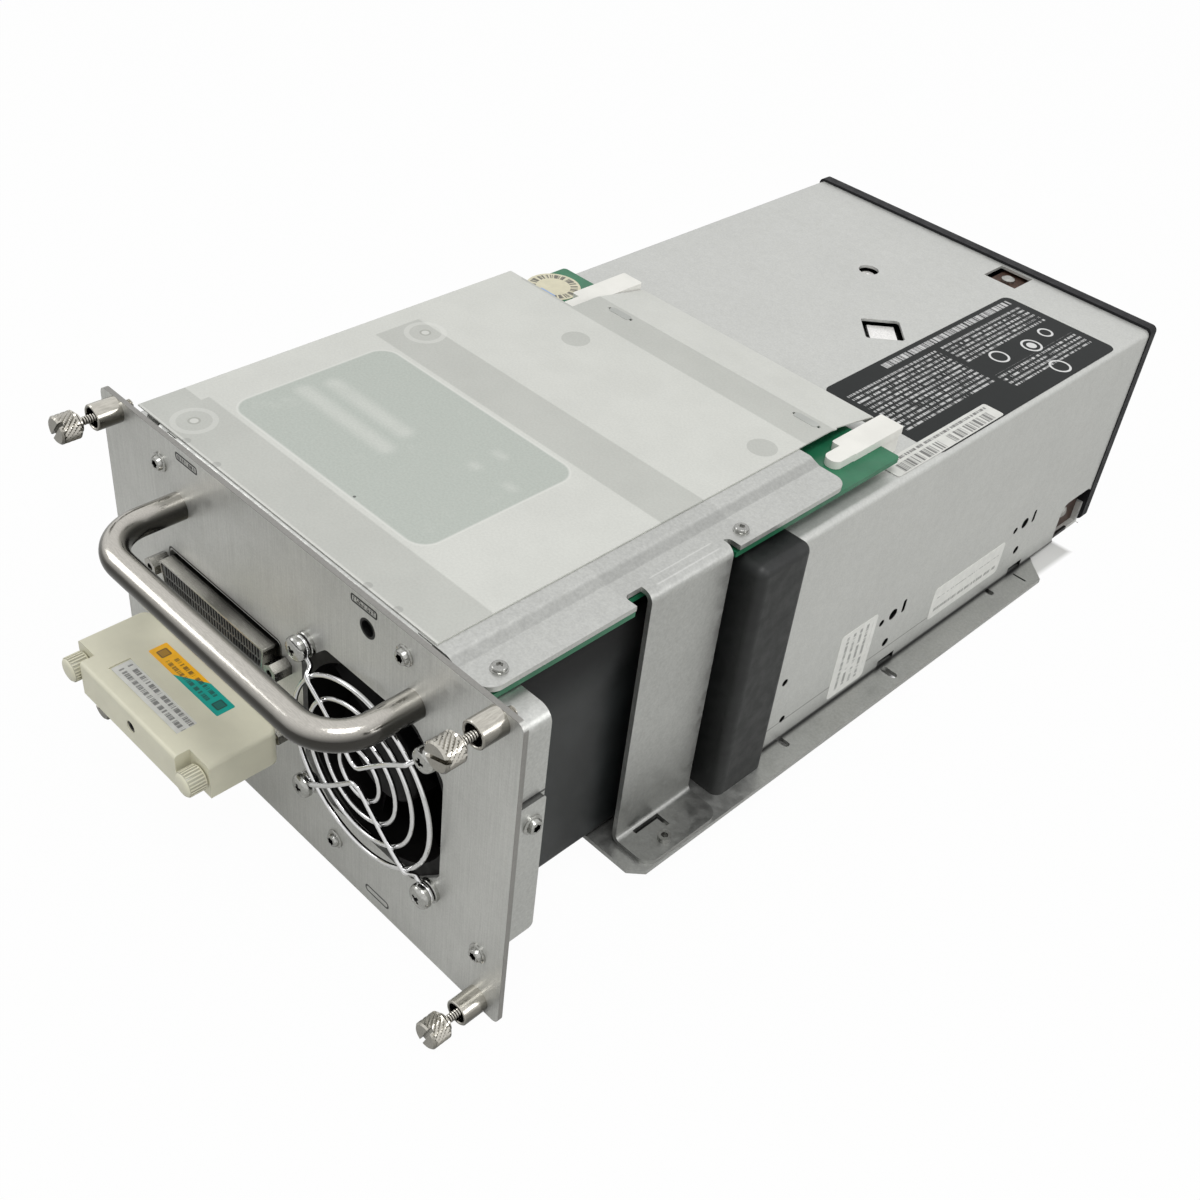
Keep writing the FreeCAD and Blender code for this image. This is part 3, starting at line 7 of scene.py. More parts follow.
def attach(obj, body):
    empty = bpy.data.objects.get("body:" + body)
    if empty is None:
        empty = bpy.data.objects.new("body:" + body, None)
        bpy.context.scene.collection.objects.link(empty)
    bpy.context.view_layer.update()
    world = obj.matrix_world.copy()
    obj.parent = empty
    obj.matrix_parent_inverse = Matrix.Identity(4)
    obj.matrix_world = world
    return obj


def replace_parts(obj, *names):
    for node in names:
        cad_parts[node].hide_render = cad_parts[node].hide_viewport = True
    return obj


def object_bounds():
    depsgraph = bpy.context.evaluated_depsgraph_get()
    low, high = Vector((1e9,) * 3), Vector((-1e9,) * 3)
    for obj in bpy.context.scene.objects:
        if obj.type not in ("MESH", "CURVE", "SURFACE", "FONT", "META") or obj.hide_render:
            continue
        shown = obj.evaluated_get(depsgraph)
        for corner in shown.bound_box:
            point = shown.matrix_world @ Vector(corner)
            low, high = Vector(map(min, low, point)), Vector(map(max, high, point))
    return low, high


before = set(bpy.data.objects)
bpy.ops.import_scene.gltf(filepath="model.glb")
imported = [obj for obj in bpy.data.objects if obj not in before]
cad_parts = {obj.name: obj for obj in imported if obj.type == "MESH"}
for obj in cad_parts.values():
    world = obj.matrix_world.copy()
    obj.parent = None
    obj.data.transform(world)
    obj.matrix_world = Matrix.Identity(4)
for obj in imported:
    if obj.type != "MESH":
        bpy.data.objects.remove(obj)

bl_info = {
    "name": "Tape drive finish",
    "version": (1, 0, 0),
    "blender": (4, 5, 0),
    "location": "3D View > Sidebar > Tape drive",
    "description": "Finishes and fine detail for a tape drive on its library sled",
    "category": "Object",
}

CAD_LOW, CAD_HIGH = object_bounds()
MM = 0.001

# Places are in millimetres: Y from the sled panel's front face back towards the drive, Z from the
# panel's lower edge, X from its middle. The frame's origin lies on the panel's back, half way up.
PANEL_BACK, PANEL_MIDDLE = 1.5, 54.45
FORWARD, UP = (0, -1, 0), (0, 0, 1)
FROM_ABOVE, FROM_FRONT, FROM_SIDE = (1, 1, 0), (1, 0, 1), (0, 1, 1)

WORD_PLATES = ((-43.7, 0, 105.8), (30.0, 0, 106.3))
PRESSED_SLOT = (35.0, 0, 5.2)
PANEL_HOLE = (31.3, 0, 100.3)
PANEL_SCREWS = ((-56.8, 99.1), (45.2, 101.7), (75.8, 21.5), (-75.8, 21.5), (16.8, 13.3))
SIDE_SCREW = (81.1, 9.5, 68.0)
CAPTIVE_SCREWS = {"top_left": (-77, 105.15, 0.9), "top_right": (77, 105.15, 0.35),
                  "bottom_left": (-77, 3.75, 0.2), "bottom_right": (77, 3.75, 1.2)}
FAN_X, FAN_Z, FAN_HALF = 32, 54, 25
FAN_SCREWS = [(FAN_X + x, FAN_Z + z) for x in (-FAN_HALF, FAN_HALF) for z in (-FAN_HALF, FAN_HALF)]
PORT_X = -31.0
PORT_HEIGHTS = (64.5, 41.5)
TERMINATOR_HEIGHT = 41.5
TERMINATOR_SCREWS = {"left": -59.155, "right": -2.845}
BOARD_SCREWS = ((65.6, 10.3), (65.6, 94.5), (-65.6, 10.3), (-65.6, 94.5))
FILM_RINGS = ((-56.4, 10.9, 0), (-57.0, 90.9, 0))
FILM_WINDOW = ((-16.9, 49.4, 0), (40.6, 27.0, 0), 6.0)
FILM_SLOTS = {"left": -31.0, "right": 44.0}
ROUND_STICKER = (-61.8, 148.8)
ROUND_HOLE, DIAMOND_HOLE = (-14.0, 259.6), (15.4, 228.0)
DRIVE_TOP, DRIVE_SIDE = 98.0, 73.0

# Turned profiles, as (radius, height) in millimetres.
BUTTON = ((2.9, 0.0), (2.9, 0.4), (2.7, 0.55), (2.2, 0.65), (2.1, 1.3), (1.9, 1.7), (1.6, 1.85))
LOW_HEAD = ((2.25, 0.0), (2.25, 0.3), (1.95, 0.35), (1.9, 1.0), (1.7, 1.2), (1.5, 1.22))
PAN = ((3.6, 0.0), (3.6, 0.9), (3.45, 1.4), (3.05, 1.9), (2.3, 2.25), (1.4, 2.4))
NUT = ((1.5, 0), (2.8, 0), (2.8, 1.7), (1.5, 1.7), (1.5, 0))
WASHER = ((2.0, 0), (3.6, 0), (3.6, 1.0), (3.45, 1.2), (2.0, 1.2), (2.0, 0))
FERRULE = ((1.25, 0), (3.75, 0), (3.75, 7.25), (3.5, 7.5), (3.05, 7.5), (2.85, 7.3), (2.85, 1.6),
           (1.25, 1.6), (1.25, 0))
RIBBED = ((1.12, -26.5), (1.12, -22.2), (1.5, -22.1), (1.5, 0.0), (3.3, 0.0), (3.55, 0.4), (3.55, 5.2),
          (3.3, 5.6), (2.6, 5.87), (1.2, 5.98))
HOLE_PLATE = ((5.2, 0.0), (5.2, 0.3), (2.6, 0.3), (2.35, 1.1), (0.9, 1.1), (0.8, 0.9))
STICKER_DISC = ((9.0, 0), (9.0, 0.12))

# The captive screw's knurl: points round it, rows along it, where it starts and its length.
KNURL_SIDES, KNURL_ROWS, KNURL_FOOT, KNURL_LENGTH = 48, 11, 0.45, 5.1
RIB_SIDES = 48
# One of the guard's bent wires, from an eye to the middle, as distances from the fan's centre.
GUARD_WIRE = ((23.0, -2.0, 23.0), (21.9, -2.0, 21.9), (21.0, -2.1, 21.0), (19.9, -4.4, 19.9),
              (19.2, -4.6, 19.2), (12.0, -4.6, 13.8), (3.2, -4.6, 5.4), (1.2, -4.6, 3.4))

# Each lamp's name, its place from the object's middle and its width in metres, and its power.
LAMPS = (
    ("key", (0.35, -0.3, 1.15), 0.45, 6.2),
    ("fill", (-1.0, -0.7, 0.7), 0.5, 2.2),
    ("side", (1.2, 0.3, 0.6), 0.5, 3.2),
)
# The camera's place, its angles round and above the object with its roll, and its lens.
CAMERA_PLACE = (237.8131, -160.9139, 328.3373)
CAMERA_ANGLES = (40.32097, 39.38612, 7.2761)
CAMERA_LENS = 43.778
# The floor touches the panel's foot and the tray's far end, so many millimetres up and away.
FLOOR_RISE, FLOOR_RUN = 14.0, 274.0
# How much of its white the floor shows the camera and shiny surfaces.
FLOOR_SEEN, FLOOR_MIRRORED = 0.975, 0.12
# The patch of floor under the tray: its middle in millimetres, and in metres its half width, its half
# length and its soft edge. Its half width grows along the tray by a small share.
TRAY_MIDDLE = 194
TRAY_HALF_WIDTH, TRAY_HALF_LENGTH, TRAY_BLUR, TRAY_SPLAY = 0.0755, 0.094, 0.002, 0.0405


def spot(x, y, z):
    """A place in millimetres, as metres in the frame."""
    return Vector((x, y - PANEL_BACK, z - PANEL_MIDDLE)) * MM


def grey(value):
    return (value, value, value)


# ------------------------------------------------------------------ sizes and colours
def length_setting(name, description, value):
    return bpy.props.FloatProperty(name=name, description=description, default=value * MM, min=0.0,
                                   subtype="DISTANCE", unit="LENGTH", precision=5)


def colour_setting(name, description, value):
    return bpy.props.FloatVectorProperty(name=name, description=description, default=value, size=3,
                                         min=0.0, max=1.0, subtype="COLOR")


class DriveSizes(bpy.types.PropertyGroup):
    """The sizes a user would change"""
    handle_bar: length_setting("Handle bar", "Diameter of the round bar handle", 8.0)
    guard_wire: length_setting("Guard wire", "Diameter of the fan guard's wire", 1.4)
    screw_knob: length_setting("Captive screw", "Diameter over the knurl of a captive screw", 7.98)
    knurl_depth: length_setting("Knurl", "Depth of the knurl of a captive screw", 0.4)
    pocket_depth: length_setting("Pockets", "Depth of the contact pockets of a port", 1.6)
    rib_height: length_setting("Ribs", "Height of the ribs of a terminator screw", 0.25)
    label_thickness: length_setting("Labels", "Thickness of the drive's labels", 0.1)


class DriveColours(bpy.types.PropertyGroup):
    """The colours a user would change"""
    panel: colour_setting("Panel", "Brushed steel of the front panel", (0.56, 0.562, 0.54))
    sled: colour_setting("Sled", "Plated sheet of the bracket, tray and flanges", (0.53, 0.535, 0.515))
    drive: colour_setting("Drive cover", "Plated sheet of the drive's cover", (0.56, 0.565, 0.545))
    film: colour_setting("Film", "Frosted film over the bracket", (0.605, 0.61, 0.578))
    board: colour_setting("Board", "Solder mask of the circuit boards", (0.014, 0.145, 0.068))
    clips: colour_setting("Clips", "Board clips", (0.79, 0.78, 0.74))
    terminator: colour_setting("Terminator", "Terminator housing and its screws", (0.71, 0.69, 0.55))


def size(name):
    """A size from the sidebar, in millimetres."""
    return getattr(bpy.context.scene.drive_sizes, name) / MM


# ------------------------------------------------------------------ modelling by hand
def clear_selection():
    if bpy.context.object and bpy.context.object.mode != "OBJECT":
        bpy.ops.object.mode_set(mode="OBJECT")
    bpy.ops.object.select_all(action="DESELECT")


def take(*pieces):
    """Select these pieces alone, the first of them active."""
    clear_selection()
    for piece in pieces:
        piece.select_set(True)
    bpy.context.view_layer.objects.active = pieces[0]


def named(name):
    """Name the piece just added, and put its place into its mesh."""
    piece = bpy.context.object
    piece.name = piece.data.name = name
    bpy.ops.object.transform_apply(location=True, rotation=True, scale=True)
    return piece


def block(name, low, high):
    clear_selection()
    low, high = spot(*low), spot(*high)
    bpy.ops.mesh.primitive_cube_add(size=1, location=(low + high) / 2, scale=high - low)
    return named(name)


@contextmanager
def opened(piece, kind="VERT", test=None):
    """Edit a piece with the corners, edges or faces that pass a test selected, or all of them."""
    take(piece)
    bpy.ops.object.mode_set(mode="EDIT")
    bpy.ops.mesh.select_mode(type=kind)
    bpy.ops.mesh.select_all(action="DESELECT" if test else "SELECT")
    if test:
        bpy.ops.object.mode_set(mode="OBJECT")
        mesh = piece.data
        if kind == "VERT":
            for corner in mesh.vertices:
                corner.select = test(corner.co)
        elif kind == "EDGE":
            for edge in mesh.edges:
                start, end = (mesh.vertices[place].co for place in edge.vertices)
                edge.select = test((start + end) / 2, end - start)
        else:
            for face in mesh.polygons:
                face.select = test(face.center, face.normal)
        bpy.ops.object.mode_set(mode="EDIT")
    yield
    bpy.ops.object.mode_set(mode="OBJECT")


def extrude(x, y, z):
    """Extrude what is selected by so many millimetres."""
    bpy.ops.mesh.extrude_region_move(TRANSFORM_OT_translate={"value": (x * MM, y * MM, z * MM)})


def draw_in(share, centre=(0, 0, 0)):
    """Scale what is selected across X and Y, towards an upright line."""
    bpy.ops.transform.resize(value=(share, share, 1), center_override=centre)


def weld():
    """Merge the doubles of the piece being edited and turn its faces outwards."""
    bpy.ops.mesh.select_all(action="SELECT")
    bpy.ops.mesh.remove_doubles(threshold=1e-7)
    bpy.ops.mesh.normals_make_consistent(inside=False)


def modified(piece, kind, **settings):
    take(piece)
    modifier = piece.modifiers.new(kind.title(), kind)
    for name, value in settings.items():
        setattr(modifier, name, value)
    bpy.ops.object.modifier_apply(modifier=modifier.name)
    return piece


def combined(piece, other, operation):
    modified(piece, "BOOLEAN", operation=operation, solver="EXACT", object=other)
    bpy.data.objects.remove(other)
    return piece


def one_piece(name, parts):
    take(*parts)
    bpy.ops.object.join()
    return named(name)


def placed(pattern, where, along, turn=0.0, name="placed_copy"):
    """A copy of a piece made at the origin along +Z, stood on a place and pointing along an axis."""
    take(pattern)
    bpy.ops.object.duplicate()
    piece = bpy.context.object
    piece.rotation_mode = "QUATERNION"
    spin = Matrix.Rotation(turn, 3, "Z").to_quaternion()
    piece.rotation_quaternion = Vector(along).to_track_quat("Z", "Y") @ spin
    piece.location = spot(*where)
    return named(name)


def copies(pattern, stands):
    """A copy of a pattern at each stand, and the pattern taken away."""
    made = [placed(pattern, *stand) for stand in stands]
    bpy.data.objects.remove(pattern)
    return made


def turned(name, profile, sides=32, bored=False):
    """A turned shape at the origin: its profile extruded ring by ring."""
    clear_selection()
    radius, height = profile[0]
    bpy.ops.mesh.primitive_circle_add(vertices=sides, radius=radius * MM, location=(0, 0, height * MM),
                                      fill_type="NOTHING" if bored else "NGON")
    piece = named(name)
    with opened(piece):
        for next_radius, next_height in profile[1:]:
            extrude(0, 0, next_height - height)
            draw_in(next_radius / radius)
            radius, height = next_radius, next_height
        weld()
    return piece


def finished(piece, body, finish, angle=35.0):
    """Smooth a piece, give it its finish, and put it on its body."""
    take(piece)
    bpy.ops.object.shade_smooth_by_angle(angle=math.radians(angle))
    piece.data.materials.clear()
    piece.data.materials.append(FINISHES[finish].material)
    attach(piece, body)
    return piece


def sticker(name, low, high, axis, radius, body, finish):
    """A thin label, the four edges along one axis rounded."""
    made = block(name, low, high)
    with opened(made, "EDGE", lambda middle, run: abs(run["XYZ".index(axis)]) > 0.9 * run.length):
        bpy.ops.mesh.bevel(offset=radius * MM, segments=4, affect="EDGES")
    return finished(made, body, finish, 40)


def star_cutter(reach, depth, top):
    """A six-pointed driver recess: a cylinder with its sides drawn in between the points."""
    clear_selection()
    bpy.ops.mesh.primitive_cylinder_add(vertices=24, radius=reach * MM, depth=2 * depth * MM,
                                        location=(0, 0, top * MM))
    star = named("star_cutter")
    for step, share in ((1, 0.86), (2, 0.74), (3, 0.86)):
        with opened(star, "VERT",
                    lambda corner: round(math.atan2(corner.y, corner.x) * 12 / math.pi) % 4 == step):
            draw_in(share)
    return star


def driver_bar(x, y, depth, top):
    clear_selection()
    bpy.ops.mesh.primitive_cube_add(size=1, location=(0, 0, top * MM),
                                    scale=(x * MM, y * MM, 2 * depth * MM))
    return named("driver_bar")


def slot_cutter(reach, depth, top):
    return driver_bar(2 * reach, 1.2, depth, top)


def cross_cutter(reach, depth, top):
    """A cross recess that narrows downwards."""
    cross = combined(driver_bar(2 * reach, 0.6 * reach, depth, top),
                     driver_bar(0.6 * reach, 2 * reach, depth, top), "UNION")
    with opened(cross, "VERT", lambda corner: corner.z < top * MM):
        draw_in(0.55)
    return cross


def screw(name, profile, shank, cutter, reach, depth, sides=32):
    """A screw at the origin, its head upwards and its shank (radius, length) below."""
    made = turned(name, [(shank[0], -shank[1]), (shank[0], 0.0), *profile], sides)
    return combined(made, cutter(reach, depth, profile[-1][1]), "DIFFERENCE")


# ------------------------------------------------------------------ finishes
FINISHES = {}


class Nodes:
    """Adds the shader nodes of a material or world, and links them or sets their values."""

    def __init__(self, owner):
        owner.use_nodes = True
        self.tree = owner.node_tree
        self.tree.nodes.clear()

    def node(self, kind, inputs=None, **settings):
        made = self.tree.nodes.new("ShaderNode" + kind)
        for name, value in settings.items():
            setattr(made, name, value)
        for name, value in (inputs or {}).items():
            if isinstance(value, bpy.types.NodeSocket):
                self.tree.links.new(value, made.inputs[name])
            else:
                made.inputs[name].default_value = value
        return made

    def math(self, operation, *values):
        return self.node("Math", dict(enumerate(values)), operation=operation).outputs[0]

    def vector(self, operation, *values, **others):
        made = self.node("VectorMath", dict(enumerate(values)) | others, operation=operation)
        return made.outputs["Value" if operation in ("LENGTH", "DOT_PRODUCT") else "Vector"]

    def ramp(self, value, low, high, low_out=0.0, high_out=1.0, kind="SMOOTHSTEP"):
        values = {0: value, 1: low, 2: high, 3: low_out, 4: high_out}
        return self.node("MapRange", values, interpolation_type=kind).outputs[0]

    def mix(self, amount, first, second, blend="MIX"):
        first, second = (value if isinstance(value, bpy.types.NodeSocket) else (*value[:3], 1)
                         for value in (first, second))
        values = {0: amount, 6: first, 7: second}
        return self.node("Mix", values, data_type="RGBA", blend_type=blend).outputs[2]

    def shade(self, colour, factor):
        """A colour made lighter or darker by a factor."""
        return self.mix(1.0, colour, factor, "MULTIPLY")

    def chain(self, operation, values):
        total, *others = values
        for value in others:
            total = self.math(operation, total, value)
        return total

    def add(self, *values):
        return self.chain("ADD", values)

    def most(self, *values):
        return self.chain("MAXIMUM", values)

    def both(self, *values):
        return self.chain("MULTIPLY", values)

    def mixed_shader(self, amount, first, second, out):
        """The tree's result: one shader blended into another."""
        shaders = {0: amount, 1: first.outputs[0], 2: second.outputs[0]}
        self.node(out, {0: self.node("MixShader", shaders).outputs[0]})


class Finish(Nodes):
    """A material in the making: its shader, and the place on the object in millimetres."""

    def __init__(self, name, rough=0.5, metal=0.0, **sockets):
        self.material = bpy.data.materials.new(name)
        super().__init__(self.material)
        values = {socket.replace("_", " "): value for socket, value in sockets.items()}
        self.shader = self.node("BsdfPrincipled", {"Roughness": rough, "Metallic": metal, **values})
        self.node("OutputMaterial", {0: self.shader.outputs[0]})
        place = self.node("TexCoord").outputs["Object"]
        scaled = self.vector("SCALE", place, Scale=1000.0)
        self.place = self.vector("ADD", scaled, (0, PANEL_BACK, PANEL_MIDDLE))
        FINISHES[name] = self

    def colour(self, value):
        self.tree.links.new(value, self.shader.inputs["Base Color"])

    def rough(self, value):
        self.tree.links.new(value, self.shader.inputs["Roughness"])

    def bump(self, height, distance=0.02):
        """Relief, its height in millimetres."""
        made = self.node("Bump", {"Height": height, "Strength": 1.0, "Distance": distance * MM})
        self.tree.links.new(made.outputs[0], self.shader.inputs["Normal"])

    def axis(self, name):
        return self.node("SeparateXYZ", {0: self.place}).outputs["XYZ".index(name)]

    def across(self):
        """How far each point lies from the object's middle plane."""
        return self.math("ABSOLUTE", self.axis("X"))

    def noise_at(self, place, scale=1.0, detail=4.0, rough=0.55):
        values = {"Vector": place, "Scale": scale, "Detail": detail, "Roughness": rough}
        return self.node("TexNoise", values).outputs["Fac"]

    def noise(self, scale, detail=4.0, stretch=(1, 1, 1)):
        """Noise from 0 to 1, with so many features a millimetre."""
        return self.noise_at(self.vector("MULTIPLY", self.place, stretch), scale, detail)

    def between(self, noise, low, high):
        """A value that wanders between two limits as noise does."""
        return self.ramp(noise, 0.3, 0.7, low, high)

    def outside(self, centre, half, radius, flat):
        """How far outside a rounded rectangle each point lies, in millimetres."""
        offset = self.vector("ABSOLUTE", self.vector("SUBTRACT", self.place, centre))
        offset = self.vector("MULTIPLY", offset, flat)
        inner = [max(0.0, reach - radius) * on for reach, on in zip(half, flat)]
        corner = self.vector("MAXIMUM", self.vector("SUBTRACT", offset, inner), (0, 0, 0))
        return self.math("SUBTRACT", self.vector("LENGTH", corner), radius)

    def patch(self, centre, half, radius, blur=0.2, flat=FROM_ABOVE):
        """One inside a rounded rectangle and nought outside it."""
        return self.ramp(self.outside(centre, half, radius, flat), -blur, blur, 1.0, 0.0)

    def outline(self, centre, half, radius, width, blur=0.15, flat=FROM_ABOVE):
        """One along the edge of a rounded rectangle."""
        distance = self.math("ABSOLUTE", self.outside(centre, half, radius, flat))
        return self.ramp(distance, width / 2 - blur, width / 2 + blur, 1.0, 0.0)

    def ring(self, centre, radius, width, flat=FROM_ABOVE):
        offset = self.vector("MULTIPLY", self.vector("SUBTRACT", self.place, centre), flat)
        away = self.math("ABSOLUTE", self.math("SUBTRACT", self.vector("LENGTH", offset), radius))
        return self.ramp(away, width / 2 - 0.08, width / 2 + 0.08, 1.0, 0.0)

    def disc(self, centre, radius, flat=FROM_ABOVE):
        return self.ring(centre, 0.0, 2 * radius, flat)

    def span(self, name, low, high, blur=0.1):
        """One between two heights along an axis."""
        value = self.axis(name)
        return self.both(self.ramp(value, low - blur, low + blur),
                         self.ramp(value, high - blur, high + blur, 1, 0))

    def rows(self, along, across, start, pitch, word=0.7, threshold=0.47, fill=0.24):
        """Rows of short dashes, as small print looks from afar."""
        place = self.math("DIVIDE", self.math("SUBTRACT", self.axis(across), start), pitch)
        number = self.math("FLOOR", place)
        middle = self.math("SUBTRACT", self.math("SUBTRACT", place, number), 0.5)
        line = self.ramp(self.math("ABSOLUTE", middle), fill, fill + 0.08, 1.0, 0.0)
        word_place = self.node("CombineXYZ", {0: self.both(self.axis(along), word),
                                              1: self.both(number, 7.31)}).outputs[0]
        words = self.noise_at(word_place, rough=0.85)
        return self.both(line, self.ramp(words, threshold, threshold + 0.03))

    def bars(self, along, density):
        """Upright bars of uneven width, which encode nothing."""
        place = self.node("CombineXYZ", {0: self.both(self.axis(along), density)}).outputs[0]
        return self.ramp(self.noise_at(place, detail=3.0, rough=0.7), 0.485, 0.515)

    def facing(self, towards, low, high):
        """One where a surface faces one way, nought where it faces away."""
        normal = self.node("NewGeometry").outputs["Normal"]
        return self.ramp(self.vector("DOT_PRODUCT", normal, Vector(towards).normalized()), low, high)


def rolled_sheet(name, colour, rough, metal=0.7, grain=(0.25, 6.0, 0.25), spread=0.1, blotch=0.08):
    """Rolled and plated sheet: a fine grain along one way, faint cloudy blotches, a few specks."""
    sheet = Finish(name, rough, metal)
    streaks, clouds, specks = sheet.noise(1.0, 5.0, grain), sheet.noise(0.045), sheet.noise(1.6, 2.0)
    uneven = sheet.add(sheet.between(streaks, 1 - spread, 1 + spread),
                       sheet.between(clouds, -blotch, blotch),
                       sheet.ramp(specks, 0.3, 0.75, -0.05, 0.06))
    sheet.tone = sheet.shade(colour, uneven)
    sheet.colour(sheet.tone)
    sheet.rough(sheet.between(sheet.noise(0.3, 6.0), rough - 0.07, rough + 0.09))
    sheet.bump(sheet.add(streaks, specks), 0.006)
    return sheet


def moulded(name, colour, rough, texture=3.0, relief=0.02, wear=0.1, **sockets):
    """Moulded plastic: a fine spark texture with a slightly uneven gloss."""
    plastic = Finish(name, rough, **sockets)
    plastic.tone = plastic.shade(colour, plastic.between(plastic.noise(0.08), 1 - wear, 1 + wear))
    plastic.colour(plastic.tone)
    plastic.rough(plastic.between(plastic.noise(0.25, 5.0), rough - 0.06, rough + 0.08))
    plastic.bump(plastic.noise(texture, 2.0), relief)
    return plastic


def bright_metal(name, colour, rough, stretch=(1, 1, 1), scale=2.0, spread=0.12):
    """Turned or drawn metal with fine tool marks."""
    metal = Finish(name, rough, 1.0)
    marks = metal.noise(scale, 4.0, stretch)
    metal.tone = metal.shade(colour, metal.between(marks, 1 - spread, 1 + spread))
    metal.colour(metal.tone)
    metal.rough(metal.between(marks, max(0.03, rough - 0.05), rough + 0.06))
    metal.bump(marks, 0.004)
    return metal


def printed(name, paper, ink, rough=0.38, **sockets):
    """A printed label: a slightly uneven paper, and the colour of its ink."""
    label = Finish(name, rough, **sockets)
    label.paper = label.shade(paper, label.between(label.noise(0.4), 0.95, 1.05))
    label.ink = ink
    label.bump(label.noise(1.2, 3.0), 0.01)
    return label


def inked(label, marks, share=0.85):
    """Print marks on a label's paper."""
    label.colour(label.mix(label.both(marks, share), label.paper, label.ink))


def panel_sheet(colours):
    """Brushed panel: pressed outlines with plain marks in two of them, and painted shade in the grooves,
    along the top and side edges, and in and round a hole.
    """
    brushed = (2.5, 2.5, 0.05)
    panel = rolled_sheet("panel_sheet", colours.panel, 0.4, grain=brushed, spread=0.06, blotch=0.03)
    outlines = [(plate, (4.7, 0, 1.0), 0.5) for plate in WORD_PLATES]
    outlines += [(PRESSED_SLOT, (4.8, 0, 1.1), 1.05)]
    outlines += [((PORT_X, 0, z), (26.0, 0, 6.4), 1.5) for z in PORT_HEIGHTS]
    pressed = panel.most(*(panel.outline(*outline, 0.55, flat=FROM_FRONT) for outline in outlines))
    marks = panel.both(panel.rows("X", "Z", 105.1, 1.3, 1.1, 0.48, fill=0.4), panel.most(
        *(panel.patch(plate, (4.0, 0, 0.6), 0.2, 0.1, FROM_FRONT) for plate in WORD_PLATES)))
    front = panel.ramp(panel.axis("Y"), 0.5, 0.6, 1.0, 0.0)
    pressed = panel.both(panel.most(pressed, marks), front)
    # Painted shade: a dark line along the panel's top edge and along its side edges.
    edge = panel.both(panel.most(panel.ramp(panel.axis("Z"), 108.7, 108.85),
                                 panel.ramp(panel.across(), 84.7, 84.85)), 0.65)
    tone = panel.mix(edge, panel.tone, (0.13, 0.12, 0.11))
    # Painted shade: the panel's hole, its walls and a ring round it are near black, and so are the grooves
    # of the pressed outlines; the marks among them are print.
    hole = panel.disc(PANEL_HOLE, 2.9, FROM_FRONT)
    panel.colour(panel.mix(panel.most(pressed, hole), tone, grey(0.02)))
    panel.bump(panel.math("SUBTRACT", panel.noise(1.0, 5.0, brushed), panel.both(pressed, 8.0)), 0.01)


def plated_sled(colours):
    """Plated bracket and flanges. Painted shade: each leg darker than the top, most of all towards its
    foot, the joggle's slope, a shadow over the clamp plates and a dark disc behind the panel's hole.
    Painted highlights: beads at the leg's bend."""
    sled = rolled_sheet("sled_sheet", colours.sled, 0.36, 0.9, (0.9, 0.9, 0.9), 0.05, 0.025)
    # Painted shade: the upright leg darker than the top flange, and darker still towards its foot.
    leg = sled.both(sled.ramp(sled.axis("Y"), 50, 51), sled.ramp(sled.axis("Y"), 95, 96, 1, 0))
    low = sled.both(leg, sled.ramp(sled.axis("Z"), 15.0, 62.0, 1, 0))
    tone = sled.shade(sled.tone, sled.ramp(sled.add(low, sled.both(leg, 0.2)), 0, 1.2, 1.0, 0.6, "LINEAR"))
    across = sled.across()
    # Painted highlights: two pale stripes where beads cross the top of the leg's bend.
    bead_highlights = sled.most(*(sled.ramp(sled.math("ABSOLUTE", sled.math("SUBTRACT", across, x)), 0.12, 0.3, 1, 0)
                        for x in (64.4, 67.2)))
    top = sled.ramp(sled.axis("Z"), 103.0, 103.5)
    bead_highlights = sled.both(bead_highlights, top, sled.span("Y", 61.0, 84.0, 0.6))
    tone = sled.mix(sled.both(bead_highlights, 0.35), tone, (0.8, 0.8, 0.78))
    # Painted shade on the joggle's slope.
    joggle = sled.both(sled.ramp(across, 56.3, 57.5), sled.ramp(across, 59.4, 60.0, 1, 0), top)
    tone = sled.shade(tone, sled.ramp(joggle, 0, 1, 1.0, 0.78, "LINEAR"))
    # Painted shadow along the clamp plates' top edge and the flange face just above it.
    gap_shadow = sled.both(sled.ramp(across, 79.5, 79.6), sled.span("Z", 75.5, 76.3), sled.span("Y", 2.0, 14.0))
    tone = sled.mix(sled.both(gap_shadow, 0.8), tone, grey(0.03))
    # Painted shade: a dark disc on the tab behind the panel's hole, as if a hole went on into it.
    hole = sled.both(sled.disc(PANEL_HOLE, 2.8, FROM_FRONT), sled.ramp(sled.axis("Y"), 4.0, 4.5, 1, 0))
    sled.colour(sled.mix(hole, tone, grey(0.015)))


def tray_sheet(colours):
    """Plated tray, darker than the sled, with painted shade under the slit in each of the bracket's feet
    and along the drive's sides.
    """
    # The sled's colour, made darker.
    darker_sled = [share * 0.8 for share in colours.sled]
    tray = rolled_sheet("tray_sheet", darker_sled, 0.36, 0.9, (0.9, 0.9, 0.9), 0.05, 0.03)
    # Painted shade under the slit in each of the bracket's feet.
    slit_shade = tray.most(*(tray.patch((71.8 * side, 68.0, 0), (1.5, 5.8, 0), 0.5, 0.4) for side in (-1, 1)))
    across = tray.across()
    # Painted shade on the tray along the foot of the drive's sides.
    shade_beside_drive = tray.both(tray.ramp(across, 73.2, 74.8, 0.85, 0), tray.ramp(across, 72.0, 73.0),
                       tray.ramp(tray.axis("Y"), 103.0, 106.0))
    tray.colour(tray.mix(tray.most(slit_shade, shade_beside_drive), tray.tone, grey(0.02)))


